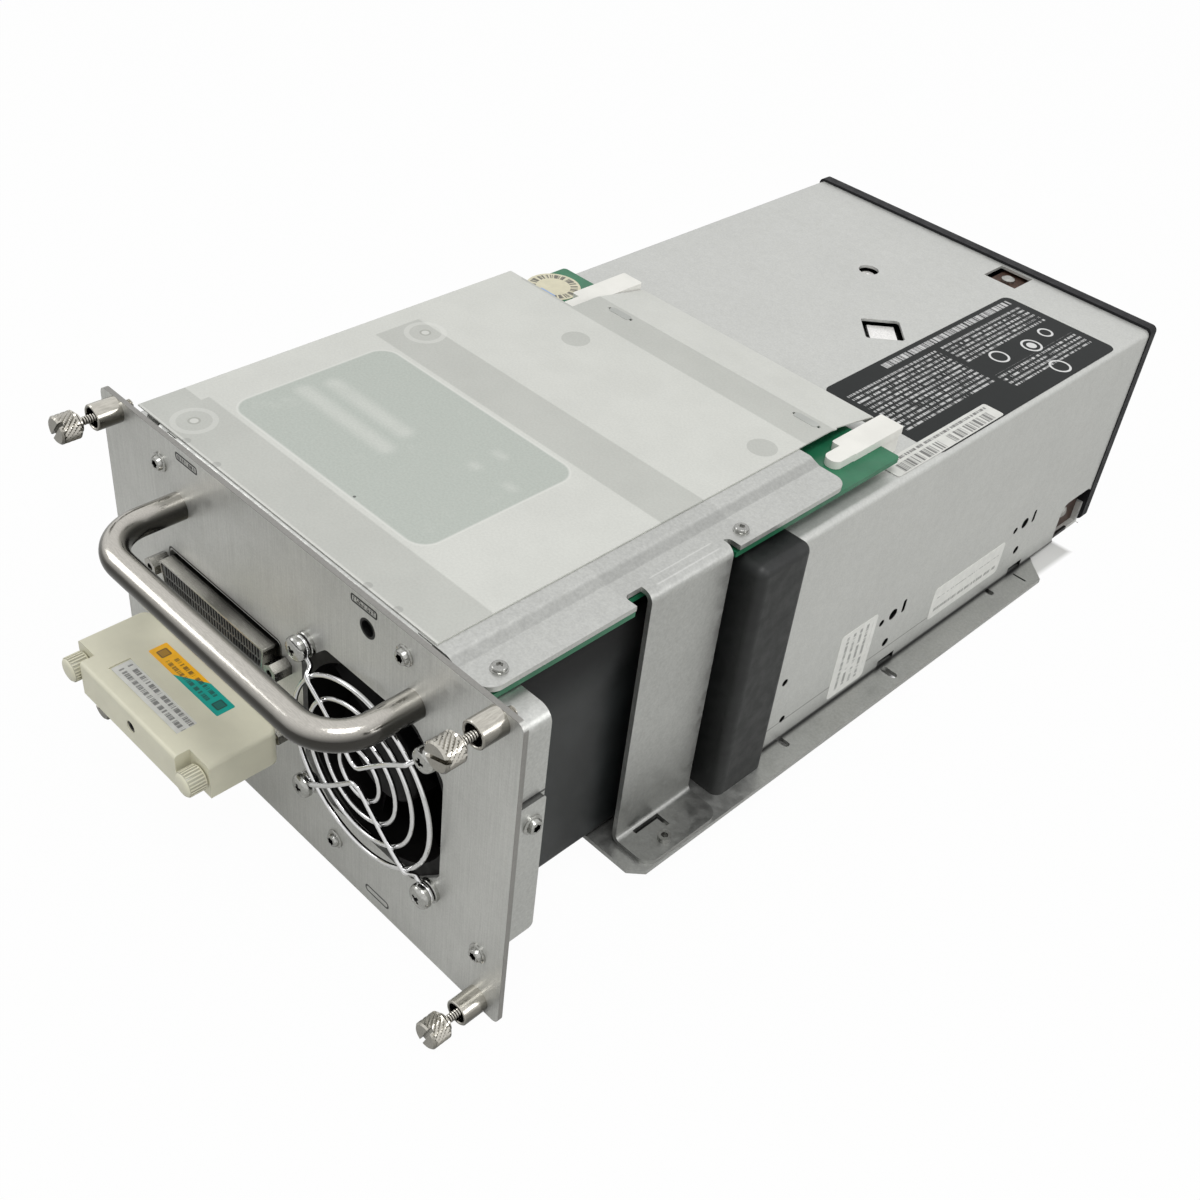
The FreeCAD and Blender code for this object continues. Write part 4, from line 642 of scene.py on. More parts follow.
def drive_case(colours):
    """Plated case, with the seam of its lower shell along the sides, and painted shade along its foot and
    on its inner side, seen through its holes.
    """
    case = rolled_sheet("drive_sheet", colours.drive, 0.42, 0.5, (0.5, 0.5, 0.5), 0.02, 0.015)
    across = case.across()
    side = case.ramp(across, 72.6, 72.8)
    seam = case.both(side, case.span("Z", 23.3, 23.6, 0.08), case.span("Y", 106.0, 205.0, 3.0))
    # Painted shade: a contact shadow along the foot of the sides, darkest just above the tray.
    low = case.both(side, case.most(case.ramp(case.axis("Z"), 15.5, 23.3, 0.25, 0),
                                    case.ramp(case.axis("Z"), 16.0, 17.0, 0.8, 0)))
    tone = case.shade(case.tone, case.math("SUBTRACT", 1.0, low))
    tone = case.mix(case.both(seam, 0.8), tone, grey(0.06))
    # Painted shade: the cover's inner side, seen through its holes, is near black.
    holes = case.both(case.ramp(across, 71.0, 71.1), case.ramp(across, 72.8, 72.9, 1, 0),
                      case.ramp(case.axis("Z"), 96.0, 96.2, 1, 0), case.span("Y", 106.0, 299.0))
    case.colour(case.mix(holes, tone, grey(0.01)))


def frosted_film(colours):
    """Frosted sheet: painted shade where it stands clear of the metal, grey-green over the bracket's
    window, painted highlights along the window's edge and round two screws, pale along its own edge, with
    a few dark dots."""
    film = Finish("film", 0.5, Specular_IOR_Level=0.3)
    cloud = film.between(film.noise(0.06), 0.975, 1.025)
    grain = film.between(film.noise(1.5), 0.965, 1.035)
    tone = film.shade(colours.film, film.both(cloud, grain))
    # Painted shade where the sheet stands clear of the metal under it.
    strips = ((-6.0, 12.2, 58.0, 8.4, 0.35), (-6.0, 86.3, 58.5, 8.2, 0.35), (-6.0, 144.6, 60.0, 6.6, 0.4),
              (-61.0, 10.5, 11.0, 7.5, 0.2))
    standoff_shade = film.most(*(film.patch((x, y, 0), (wide, deep, 0), 0.5, blur)
                      for x, y, wide, deep, blur in strips),
                    film.disc((-28.0, 125.6, 0), 4.4), film.disc((45.5, 126.5, 0), 4.4))
    standoff_shade = film.both(standoff_shade, film.ramp(film.axis("Z"), 105.5, 106.5))
    tone = film.mix(film.both(standoff_shade, 0.9), tone, film.shade(tone, (0.79, 0.795, 0.79)))

    touching = film.most(*(film.patch((x, y, 0), (wide, deep, 0), deep, 2.0) for x, y, wide, deep in (
        (-34.0, 43.3, 20.0, 2.4), (-34.5, 52.0, 17.5, 2.4), (4.3, 56.8, 1.6, 1.2), (17.0, 57.7, 2.0, 1.0),
        (4.5, 65.5, 2.2, 1.0))))
    under = film.most(film.both(touching, film.ramp(film.noise(0.15), 0.25, 0.6, 0.7, 1.0)),
                      film.both(film.ramp(film.noise(0.09), 0.6, 0.8), 0.5))
    board = film.mix(under, (0.445, 0.475, 0.44), (0.54, 0.56, 0.525))
    board = film.shade(board, film.between(film.noise(1.5), 0.95, 1.05))
    tone = film.mix(film.patch(*FILM_WINDOW, blur=0.25), tone, board)

    # Painted highlights along the window's edge and round two screws; a pale band along the sheet's front
    # edge.
    pale = film.most(film.both(film.outline(*FILM_WINDOW, width=0.7, blur=0.3), 0.55),
                     *(film.both(film.ring(place, 5.6, 1.6), share)
                       for place, share in zip(FILM_RINGS, (0.3, 0.35))),
                     *(film.both(film.disc(place, 1.1), 0.5) for place in FILM_RINGS),
                     film.both(film.span("Y", 3.3, 4.2, 0.2), 0.45))
    tone = film.mix(pale, tone, (0.72, 0.72, 0.69))
    heads = film.most(*(film.ring(place, 1.5, 0.5) for place in FILM_RINGS))
    tone = film.mix(film.both(heads, 0.45), tone, (0.25, 0.25, 0.22))
    dots = film.most(film.both(film.disc((-3.8, 23.4, 0), 0.45), 0.8),
                     *(film.both(film.disc((x, 4.2, 0), 1.2), 0.22) for x in (-49.6, -36.0, 26.1, 37.3)))
    film.colour(film.mix(dots, tone, grey(0.05)))
    film.rough(film.between(film.noise(0.2), 0.44, 0.58))
    film.bump(film.add(film.noise(0.02, 2.0), film.both(film.noise(2.2, 3.0), 0.03)), 0.25)


def terminator_plastic(colours):
    """Ivory moulding with its parting line, and painted shade between the ribs of its screws."""
    body = moulded("ivory_plastic", colours.terminator, 0.36, 2.5, 0.012, 0.04)
    across = body.math("ABSOLUTE", body.add(body.axis("X"), -PORT_X))
    seam = body.both(body.span("Z", 41.35, 41.6, 0.06), body.span("Y", -32.2, -5.9, 0.05),
                     body.ramp(across, 26.0, 26.1, 1, 0))
    # Painted shade on the screw heads, between their ribs.
    offsets = (body.vector("SUBTRACT", body.place, (x, 0, TERMINATOR_HEIGHT))
               for x in TERMINATOR_SCREWS.values())
    shanks = body.most(*(body.ramp(body.vector("LENGTH", body.vector("MULTIPLY", offset, FROM_FRONT)),
                                   3.6, 3.7, 1, 0) for offset in offsets))
    ribs = body.both(body.both(body.span("Y", -33.4, -28.6, 0.1), shanks), body.ramp(across, 24.0, 24.1))
    tone = body.shade(body.tone, body.ramp(ribs, 0, 1, 1.0, 0.62, "LINEAR"))
    body.colour(body.mix(body.both(seam, 0.55), tone, (0.16, 0.15, 0.12)))


def rating_print():
    """Charcoal label: rows of small dashes, a row of large ones, plain rings."""
    dark = printed("charcoal_print", (0.013, 0.0145, 0.0145), grey(0.8), 0.5, Specular_IOR_Level=0.15)
    small = dark.both(dark.rows("Y", "X", 34.0, 2.05, 1.2, 0.485, fill=0.2), dark.most(
        *(dark.patch((x, y, 0), (wide, 24.0, 0), 0.1)
          for x, y, wide in ((46.0, 207.0, 12.0), (40.0, 258.0, 6.0), (60.0, 258.0, 4.0)))))
    large = dark.both(dark.rows("Y", "X", 28.4, 4.4, 0.7, 0.475, fill=0.27),
                      dark.patch((30.6, 245.0, 0), (2.2, 37.0, 0), 0.1))
    rings = dark.most(*(dark.ring((x, y, 0), radius, width) for x, y, radius, width in (
        (50.0, 246.0, 3.2, 0.8), (52.5, 262.0, 3.4, 0.8), (52.5, 262.0, 0.0, 3.6),
        (66.0, 258.0, 3.4, 0.8), (50.5, 274.0, 2.4, 0.8))))
    inked(dark, dark.most(small, large, rings))


def bar_print():
    """White label: two fields of uneven bars beside a row of dashes."""
    bar = printed("bar_print", (0.66, 0.66, 0.63), grey(0.03))
    fields = bar.most(*(bar.patch((68.8, y, 0), (1.9, 11.0, 0), 0.1) for y in (174.5, 201.0)))
    words = bar.both(bar.rows("Y", "X", 64.3, 1.9, 0.8), bar.patch((65.2, 188.0, 0), (0.8, 26.0, 0), 0.1))
    inked(bar, bar.most(bar.both(bar.bars("Y", 0.75), fields), words), 0.95)


def side_prints():
    """The two labels on the drive's side: a few rows of dashes."""
    for name, along, across, start, pitch, fill, centre, half in (
            ("side_print_long", "Y", "Z", 22.6, 5.6, 0.08, (73, 224.5, 27.5), (0, 19.0, 3.2)),
            ("side_print_tall", "Z", "Y", 151.2, 3.4, 0.16, (73, 158.5, 31.0), (0, 7.4, 11.0))):
        side = printed(name, (0.74, 0.74, 0.71), grey(0.04))
        inked(side, side.both(side.rows(along, across, start, pitch, 0.6, 0.46, fill=fill),
                              side.patch(centre, half, 0.1, flat=FROM_SIDE)), 0.7)


def port_prints():
    """The red label between the ports, and the terminator's two-coloured sticker and white label."""
    red = printed("red_print", (0.5, 0.06, 0.035), (0.05, 0.01, 0.01))
    inked(red, red.both(red.rows("X", "Z", 49.6, 1.7, 0.5, 0.5),
                        red.patch((-33.7, 0, 51.2), (10.4, 0, 1.6), 0.1, flat=FROM_FRONT)), 0.6)

    two = printed("sticker_print", (0.93, 0.47, 0.012), grey(0.02))
    slant = two.add(two.axis("X"), two.both(two.axis("Y"), -1.6))
    green = two.shade((0.006, 0.36, 0.3), two.between(two.noise(0.4), 0.95, 1.05))
    two.paper = two.mix(two.ramp(slant, -9.5, -9.3), two.paper, green)
    words = two.both(two.rows("X", "Y", -15.0, 2.3, 0.8, 0.47),
                     two.patch((-30.0, -12.7, 0), (10.0, 2.4, 0), 0.1))
    squares = (two.outline((x, -12.7, 0), (1.4, 1.4, 0), 0.2, 0.5) for x in (-43.4, -16.6))
    inked(two, two.most(words, *squares))

    white = printed("white_print", (0.68, 0.68, 0.65), grey(0.03))
    inked(white, white.both(white.rows("X", "Y", -26.3, 2.7, 0.8, 0.47),
                            white.patch((-30.0, -23.7, 0), (15.4, 2.6, 0), 0.1)))


def round_print():
    """Cream disc with a ring of short dashes and a blue smear."""
    cream = printed("round_print", (0.66, 0.62, 0.46), grey(0.04))
    centre = (*ROUND_STICKER, 0)
    offset = cream.node("SeparateXYZ", {0: cream.vector("SUBTRACT", cream.place, centre)}).outputs
    angle = cream.node("CombineXYZ", {0: cream.math("ARCTAN2", offset[1], offset[0])}).outputs[0]
    dashes = cream.ramp(cream.noise_at(angle, 6.0, 3.0, 0.5), 0.47, 0.51)
    smear = cream.patch((-60.0, 143.4, 0), (3.6, 1.8, 0), 0.6)
    cream.paper = cream.mix(smear, cream.paper, (0.2, 0.36, 0.72))
    inked(cream, cream.both(cream.ring(centre, 6.9, 2.4), dashes))


def duct_plastic():
    """Black duct, with painted shade along its top under the flange, where it is rougher too."""
    duct = moulded("duct_plastic", (0.015, 0.017, 0.0175), 0.42, 1.5, 0.03, 0.3)
    # Painted shade: darker towards the top, under the flange.
    top_shade = duct.ramp(duct.axis("Z"), 70.0, 93.0)
    duct.colour(duct.shade(duct.tone, duct.ramp(top_shade, 0, 1, 1.0, 0.1, "LINEAR")))
    duct.rough(duct.ramp(top_shade, 0, 1, 0.42, 0.8))


def shaded_by_facing(metal, towards, low, high, dark, light):
    """Painted light and shade: darken a metal where it faces away from one way, and lighten it a little
    where it faces that way.
    """
    facing = metal.facing(towards, low, high)
    metal.colour(metal.shade(metal.tone, metal.ramp(facing, 0, 1, dark, light, "LINEAR")))


def polished_metals():
    """The handle's bar, brushed along its length, and the nickel plate of the turned pieces, both with
    painted light and shade by the way each face turns.
    """
    bar = bright_metal("handle_steel", (0.5, 0.48, 0.44), 0.17, (0.5, 3.0, 5.0), 1.0, 0.06)
    # Painted light and shade: lighter where a face turns up, darker on the sides and underneath.
    shaded_by_facing(bar, (0.1, -0.2, 0.97), 0.5, 1.02, 0.13, 1.05)
    nickel = bright_metal("bright_nickel", (0.5, 0.48, 0.43), 0.17, (1, 0.2, 1), 2.0, 0.1)
    shaded_by_facing(nickel, (0, -0.35, 0.94), -0.2, 0.95, 0.24, 1.1)


def recessed_zinc():
    """Plated screws, with painted shade at the bottom of their recesses."""
    zinc = bright_metal("recessed_zinc", (0.42, 0.42, 0.4), 0.2)
    # Painted shade: the bottoms of the driver recesses are near black.
    front = zinc.most(*(zinc.disc((x, 0, z), 1.35, FROM_FRONT) for x, z in PANEL_SCREWS))
    front = zinc.both(front, zinc.span("Y", -1.6, 0.5, 0.05))
    sides = zinc.both(zinc.disc((0, *SIDE_SCREW[1:]), 1.35, FROM_SIDE),
                      zinc.ramp(zinc.across(), 82.7, 82.8, 1, 0))
    fan = zinc.most(*(zinc.disc((x, 0, z), 1.95, FROM_FRONT) for x, z in FAN_SCREWS))
    fan = zinc.both(fan, zinc.span("Y", -4.9, -3.0, 0.05))
    zinc.colour(zinc.mix(zinc.most(front, sides, fan), zinc.tone, grey(0.01)))


def port_nickel():
    """The ports' drawn shells, with a painted reflection: dark where they meet the panel, bright towards
    the front rim.
    """
    shell = bright_metal("port_nickel", (0.4, 0.39, 0.36), 0.22, (0.2, 2, 2))
    # Painted reflection: darker towards the panel, brighter towards the front.
    shell.colour(shell.shade(shell.tone, shell.ramp(shell.axis("Y"), -4.6, -0.4, 1.1, 0.2, "LINEAR")))


def contact_face():
    """Contact block: pale ribs, with painted shade in the pockets between them."""
    face = Finish("contact_face", 0.5)
    ribs = face.shade((0.09, 0.09, 0.087), face.between(face.noise(1.5), 0.8, 1.2))
    # Painted shade: the pockets are near black below their rim.
    face.colour(face.mix(face.ramp(face.axis("Y"), -4.1, -3.7), ribs, grey(0.008)))
    face.bump(face.noise(3.0), 0.01)


def hole_metal():
    """Bright plates under the holes of the cover's top, with painted shade, near black, round their foot.
    """
    plate = bright_metal("hole_metal", (0.85, 0.84, 0.82), 0.35)
    # Painted shade: near black below the raised middle, under the cover's edge.
    plate.colour(plate.mix(plate.ramp(plate.axis("Z"), 95.75, 95.9), grey(0.006), plate.tone))


def copper_strip():
    """Tarnished strips with bright screws."""
    strip = bright_metal("copper_strip", (0.07, 0.034, 0.022), 0.4, scale=1.2, spread=0.5)
    side = strip.ramp(strip.across(), 70.02, 70.1)
    screws = strip.most(strip.ramp(strip.axis("Z"), 96.42, 96.5), side)
    strip.colour(strip.mix(screws, strip.tone, (0.4, 0.4, 0.38)))


def make_finishes(colours):
    """Every finish, those with a user's colour first."""
    for make in (panel_sheet, plated_sled, tray_sheet, drive_case, frosted_film, terminator_plastic):
        make(colours)
    for make in (rating_print, bar_print, side_prints, port_prints, round_print, duct_plastic,
                 polished_metals, recessed_zinc, port_nickel, contact_face, hole_metal, copper_strip):
        make()
    rolled_sheet("cast_alloy", grey(0.12), 0.55, grain=(0.8, 0.8, 0.8))
    bright_metal("guard_chrome", grey(0.72), 0.1, spread=0.05)
    bright_metal("screw_zinc", (0.36, 0.36, 0.345), 0.2)
    bright_metal("motor_can", grey(0.4), 0.35)
    moulded("board_mask", colours.board, 0.35, 1.0, 0.01, 0.12)
    moulded("clip_white", colours.clips, 0.42, 2.0, 0.01, 0.04)
    moulded("slot_cover", (0.42, 0.43, 0.41), 0.5, 1.5, 0.01, 0.08)
    moulded("collar_rubber", (0.006, 0.007, 0.0068), 0.52, 1.0, 0.03, 0.25)
    moulded("bezel_black", (0.007, 0.007, 0.0085), 0.5, 4.0, 0.03, Specular_IOR_Level=0.2)
    moulded("fan_plastic", (0.005, 0.0045, 0.0045), 0.5, Specular_IOR_Level=0.15)
    moulded("chip_black", (0.02, 0.02, 0.022), 0.55, 6.0)
    moulded("connector_black", (0.015, 0.015, 0.016), 0.45)
    moulded("nylon", (0.6, 0.6, 0.56), 0.4)
    moulded("lens", (0.02, 0.02, 0.025), 0.12)
    moulded("switch_body", (0.05, 0.05, 0.055), 0.4)
    moulded("reel_plastic", (0.12, 0.12, 0.13), 0.4)
    moulded("head_face", (0.06, 0.055, 0.05), 0.2)


NODE_FINISH = {
    "panel_sheet": ["front_panel"],
    "sled_sheet": ["side_flanges", "clamp_plates", "bridge_bracket"],
    "tray_sheet": ["mounting_tray"],
    "drive_sheet": ["drive_cover", "drive_base", "drive_rear_panel", "cartridge_carrier"],
    "handle_steel": ["handle"],
    "screw_zinc": ["handle_screws", "panel_screws", "fan_screws", "board_screws", "drive_screws",
                   "foot_rivets", "deck_posts"],
    "bright_nickel": ["screw_ferrules", "thumbscrew_top_left", "thumbscrew_top_right",
                      "thumbscrew_bottom_left", "thumbscrew_bottom_right", "terminator_plug",
                      "guide_roller_a", "guide_roller_b", "guide_roller_c", "guide_roller_d"],
    "port_nickel": ["scsi_shells", "jack_sockets"],
    "guard_chrome": ["fan_guard"],
    "fan_plastic": ["fan_frame", "fan_stator", "fan_rotor"],
    "connector_black": ["scsi_inserts", "rear_connectors", "terminator_insert"],
    "board_mask": ["port_board", "controller_board", "logic_board"],
    "chip_black": ["board_chips"],
    "nylon": ["board_spacers"],
    "clip_white": ["board_clips"],
    "film": ["cover_film"],
    "duct_plastic": ["air_duct"],
    "collar_rubber": ["duct_collar"],
    "bezel_black": ["drive_bezel", "cartridge_door", "eject_button"],
    "ivory_plastic": ["terminator_body", "terminator_screw_left", "terminator_screw_right"],
    "lens": ["status_lens"],
    "switch_body": ["button_switch"],
    "copper_strip": ["ground_clips"],
    "cast_alloy": ["drive_chassis"],
    "motor_can": ["reel_motors"],
    "reel_plastic": ["take_up_reel", "supply_clutch"],
    "head_face": ["head_block"],
}


class TAPEDRIVE_OT_finishes(bpy.types.Operator):
    """Give every carried-over part its own finish"""
    bl_idname = "tapedrive.finishes"
    bl_label = "Finishes"

    def execute(self, context):
        make_finishes(context.scene.drive_colours)
        for finish, nodes in NODE_FINISH.items():
            for name in nodes:
                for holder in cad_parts[name].material_slots:
                    holder.material = FINISHES[finish].material
        return {"FINISHED"}


# ------------------------------------------------------------------ pieces
class TAPEDRIVE_OT_screws(bpy.types.Operator):
    """Screws of the panel, the board and the fan, with their driver recesses"""
    bl_idname = "tapedrive.screws"
    bl_label = "Screws"

    def execute(self, context):
        stands = [((x, 0, z), FORWARD, turn)
                  for (x, z), turn in zip(PANEL_SCREWS, (0.3, 0.1, 0.5, 0.2, 0.9))]
        x, y, z = SIDE_SCREW
        stands += [((x * side, y, z), (side, 0, 0), 0.4) for side in (-1, 1)]
        made = copies(screw("button_pattern", BUTTON, (1.5, 4.2), star_cutter, 1.3, 1.3), stands)
        panel = finished(one_piece("panel_screw_set", made), "sled", "recessed_zinc")
        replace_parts(panel, "panel_screws")

        stands = [((x, y, 106.2), UP, turn)
                  for (x, y), turn in zip(BOARD_SCREWS, (0.2, 0.5, 0.0, 0.7))]
        made = copies(screw("low_pattern", LOW_HEAD, (1.45, 5.9), star_cutter, 1.0, 0.5), stands)
        made += copies(turned("nut_pattern", NUT, 6, bored=True),
                       [((x, y, 100.3), UP) for x, y in BOARD_SCREWS])
        board = finished(one_piece("board_screw_set", made), "sled", "screw_zinc")
        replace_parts(board, "board_screws")

        stands = [((x, -2.8, z), FORWARD, turn)
                  for (x, z), turn in zip(FAN_SCREWS, (0.2, 0.5, 0.9, 0.1))]
        made = copies(screw("pan_pattern", PAN, (1.7, 12.0), cross_cutter, 1.9, 1.1, 40), stands)
        made += copies(turned("washer_pattern", WASHER, bored=True),
                       [((x, 0, z), FORWARD) for x, z in FAN_SCREWS])
        fan = finished(one_piece("fan_screw_set", made), "sled", "recessed_zinc")
        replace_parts(fan, "fan_screws")
        return {"FINISHED"}


class TAPEDRIVE_OT_thumbscrews(bpy.types.Operator):
    """Knurled captive screws and their ferrules"""
    bl_idname = "tapedrive.thumbscrews"
    bl_label = "Captive screws"

    def execute(self, context):
        pattern, sleeve = thumbscrew_pattern(), turned("ferrule_pattern", FERRULE, 48, bored=True)
        sleeves = []
        for corner, (x, z, turn) in CAPTIVE_SCREWS.items():
            name = "thumbscrew_" + corner
            made = placed(pattern, (x, -12, z), FORWARD, turn, name + "_knurled")
            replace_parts(finished(made, name, "bright_nickel", 28), name)
            sleeves.append(placed(sleeve, (x, 0, z), FORWARD))
        bpy.data.objects.remove(pattern)
        bpy.data.objects.remove(sleeve)
        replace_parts(finished(one_piece("ferrule_set", sleeves), "sled", "bright_nickel"),
                    "screw_ferrules")
        return {"FINISHED"}


def thread(crest, root, start, flank, pitch, turns):
    """The profile of a thread: the crest and the root of each turn."""
    return [point for turn in range(turns)
            for point in ((crest, start + turn * pitch), (root, start + flank + turn * pitch))]


def thumbscrew_pattern():
    """A captive screw: slotted head with a slanting knurl, relieved shank, threaded tip."""
    knob, step = size("screw_knob") / 2, KNURL_LENGTH / (KNURL_ROWS - 1)
    profile = [(1.2, -16.4), (1.5, -16.2), *thread(1.5, 1.28, -16.0, 0.2, 0.45, 6), (1.2, -13.3)]
    profile += [(1.2, -12.0), *thread(1.2, 1.05, -7.2, 0.3, 0.7, 9), (1.2, -0.8), (2.6, -0.8)]
    profile += [(2.6, 0.0), (3.5, 0.0), *((knob, KNURL_FOOT + step * row) for row in range(KNURL_ROWS))]
    made = turned("thumbscrew_pattern", profile + [(3.5, 6.0), (3.2, 6.0)], KNURL_SIDES)

    def hollow(corner):
        row = (corner.z / MM - KNURL_FOOT) / step
        if row < 0.5 or row > KNURL_ROWS - 1.5 or math.hypot(corner.x, corner.y) < 3.9 * MM:
            return False
        around = round(math.atan2(corner.y, corner.x) * KNURL_SIDES / (2 * math.pi))
        return (around + round(row)) % 3 == 0

    with opened(made, "VERT", hollow):
        draw_in(1 - size("knurl_depth") / knob)
    return combined(made, slot_cutter(5.0, 1.3, 6.0), "DIFFERENCE")


class TAPEDRIVE_OT_handle(bpy.types.Operator):
    """Round bar handle, bent by spinning its section"""
    bl_idname = "tapedrive.handle"
    bl_label = "Handle"

    def execute(self, context):
        foot, bend, straight, height = 49, 13, 12, 89.2
        clear_selection()
        bpy.ops.mesh.primitive_circle_add(vertices=48, radius=size("handle_bar") / 2 * MM,
                                          location=spot(-foot, 0, height),
                                          rotation=(math.pi / 2, 0, 0), fill_type="NOTHING")
        bar = named("handle_bar")
        corner = {"steps": 20, "angle": math.pi / 2, "axis": (0, 0, -1)}
        with opened(bar):
            extrude(0, -straight, 0)
            bpy.ops.mesh.spin(center=spot(bend - foot, -straight, height), **corner)
            extrude(2 * (foot - bend), 0, 0)
            bpy.ops.mesh.spin(center=spot(foot - bend, -straight, height), **corner)
            extrude(0, straight, 0)
            bpy.ops.mesh.edge_face_add()
        start = spot(-foot, 0, height)
        with opened(bar, "EDGE", lambda middle, run: (
                abs(middle.x - start.x) < 4 * MM and abs(middle.y - start.y) < 1e-6)):
            bpy.ops.mesh.edge_face_add()
            weld()
        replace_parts(finished(bar, "sled", "handle_steel", 60), "handle")
        return {"FINISHED"}


class TAPEDRIVE_OT_guard(bpy.types.Operator):
    """Chromed wire guard: four rings, two bent wires, four eyes"""
    bl_idname = "tapedrive.guard"
    bl_label = "Fan guard"

    def execute(self, context):
        made = [wire_ring(radius, FAN_X, -3.24, FAN_Z) for radius in (27.5, 21.0, 14.5, 8.0)]
        made += [wire_ring(2.6, x, -2.0, z) for x, z in FAN_SCREWS]
        for side in (-1, 1):
            made.append(wire([(FAN_X - x, y, FAN_Z + side * z) for x, y, z in GUARD_WIRE]
                             + [(FAN_X + x, y, FAN_Z + side * z) for x, y, z in reversed(GUARD_WIRE)]))
        guard = finished(one_piece("guard_wires", made), "sled", "guard_chrome", 60)
        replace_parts(guard, "fan_guard")
        return {"FINISHED"}


def wire_ring(radius, x, y, z):
    clear_selection()
    bpy.ops.curve.primitive_bezier_circle_add(radius=radius * MM, location=spot(x, y, z),
                                              rotation=(math.pi / 2, 0, 0))
    return drawn_wire(28 if radius > 5 else 10)


def wire(route):
    clear_selection()
    bpy.ops.curve.primitive_nurbs_path_add()
    line = bpy.context.object.data.splines[0]
    line.points.add(len(route) - len(line.points))
    for point, place in zip(line.points, route):
        point.co = (*spot(*place), 1)
    line.order_u = 3
    line.use_endpoint_u = True
    return drawn_wire(6)


def drawn_wire(steps):
    """Give the curve just added its thickness, and make it a mesh."""
    line = bpy.context.object.data
    line.resolution_u = steps
    line.bevel_depth = size("guard_wire") / 2 * MM
    line.bevel_resolution = 4
    line.use_fill_caps = True
    bpy.ops.object.convert(target="MESH")
    return named("guard_wire")


class TAPEDRIVE_OT_ports(bpy.types.Operator):
    """Contact blocks of the two ports, with their two rows of contact pockets"""
    bl_idname = "tapedrive.ports"
    bl_label = "Ports"

    def execute(self, context):
        made = []
        for z in PORT_HEIGHTS:
            made += [contact_block(z), block("block_back", (PORT_X - 25.5, 3.5, z - 5.0),
                                             (PORT_X + 25.5, 9.5, z + 5.0))]
        blocks = finished(one_piece("contact_blocks", made), "sled", "contact_face")
        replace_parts(blocks, "scsi_inserts")
        return {"FINISHED"}


def contact_block(z):
    """A sheet of cells with a pocket pressed into each, narrower at the foot, then thickened."""
    columns, wide, high = 37, 47.0, 7.8
    clear_selection()
    bpy.ops.mesh.primitive_grid_add(x_subdivisions=columns, y_subdivisions=2, size=1,
                                    location=spot(PORT_X, -4.2, z), rotation=(math.pi / 2, 0, 0))
    bpy.context.object.scale = (wide * MM, high * MM, 1)
    made = named("contact_block")
    with opened(made):
        bpy.ops.mesh.normals_make_consistent(inside=False)
    half = (columns // 2) * wide / columns - 0.4
    with opened(made, "FACE", lambda centre, normal: abs(centre.x - PORT_X * MM) < half * MM):
        bpy.ops.mesh.inset(thickness=0.24 * MM, depth=0, use_individual=True)
        bpy.ops.mesh.extrude_faces_move(TRANSFORM_OT_shrink_fatten={"value": -size("pocket_depth") * MM})
    with opened(made, "VERT", lambda corner: corner.z < spot(0, 0, z - 3.8).z):
        bpy.ops.transform.resize(value=(0.955, 1, 1), center_override=spot(PORT_X, 0, z))
    return modified(made, "SOLIDIFY", thickness=0.4 * MM, offset=-1)


class TAPEDRIVE_OT_terminator(bpy.types.Operator):
    """Ribbed screws and stickers of the terminator"""
    bl_idname = "tapedrive.terminator"
    bl_label = "Terminator"

    def execute(self, context):
        pattern = ribbed_screw()
        for side, x in TERMINATOR_SCREWS.items():
            name = "terminator_screw_" + side
            made = placed(pattern, (x, -28.1, TERMINATOR_HEIGHT), FORWARD, 0.1, name + "_ribbed")
            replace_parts(finished(made, name, "ivory_plastic", 40), name)
        bpy.data.objects.remove(pattern)
        sticker("port_sticker", (-46.8, -15.6, 47.25), (-13.4, -9.8, 47.37), "Z", 0.4, "terminator",
                "sticker_print")
        sticker("maker_label", (-47.2, -27.0, 46.85), (-13.0, -20.6, 46.97), "Z", 0.5, "terminator",
                "white_print")
        return {"FINISHED"}


def ribbed_screw():
    """A moulded thumbscrew: ribs round its head, a domed end."""
    made = turned("ribbed_pattern", RIBBED, RIB_SIDES)

    def rib(centre, normal):
        around = round(math.atan2(centre.y, centre.x) * RIB_SIDES / (2 * math.pi) - 0.5)
        outer = 0.4 * MM < centre.z < 5.2 * MM and math.hypot(centre.x, centre.y) > 3 * MM
        return outer and around % 2 == 0

    with opened(made, "FACE", rib):
        bpy.ops.mesh.inset(thickness=0.04 * MM, depth=0.0, use_individual=True)
        bpy.ops.mesh.extrude_faces_move(TRANSFORM_OT_shrink_fatten={"value": size("rib_height") * MM})
    return made


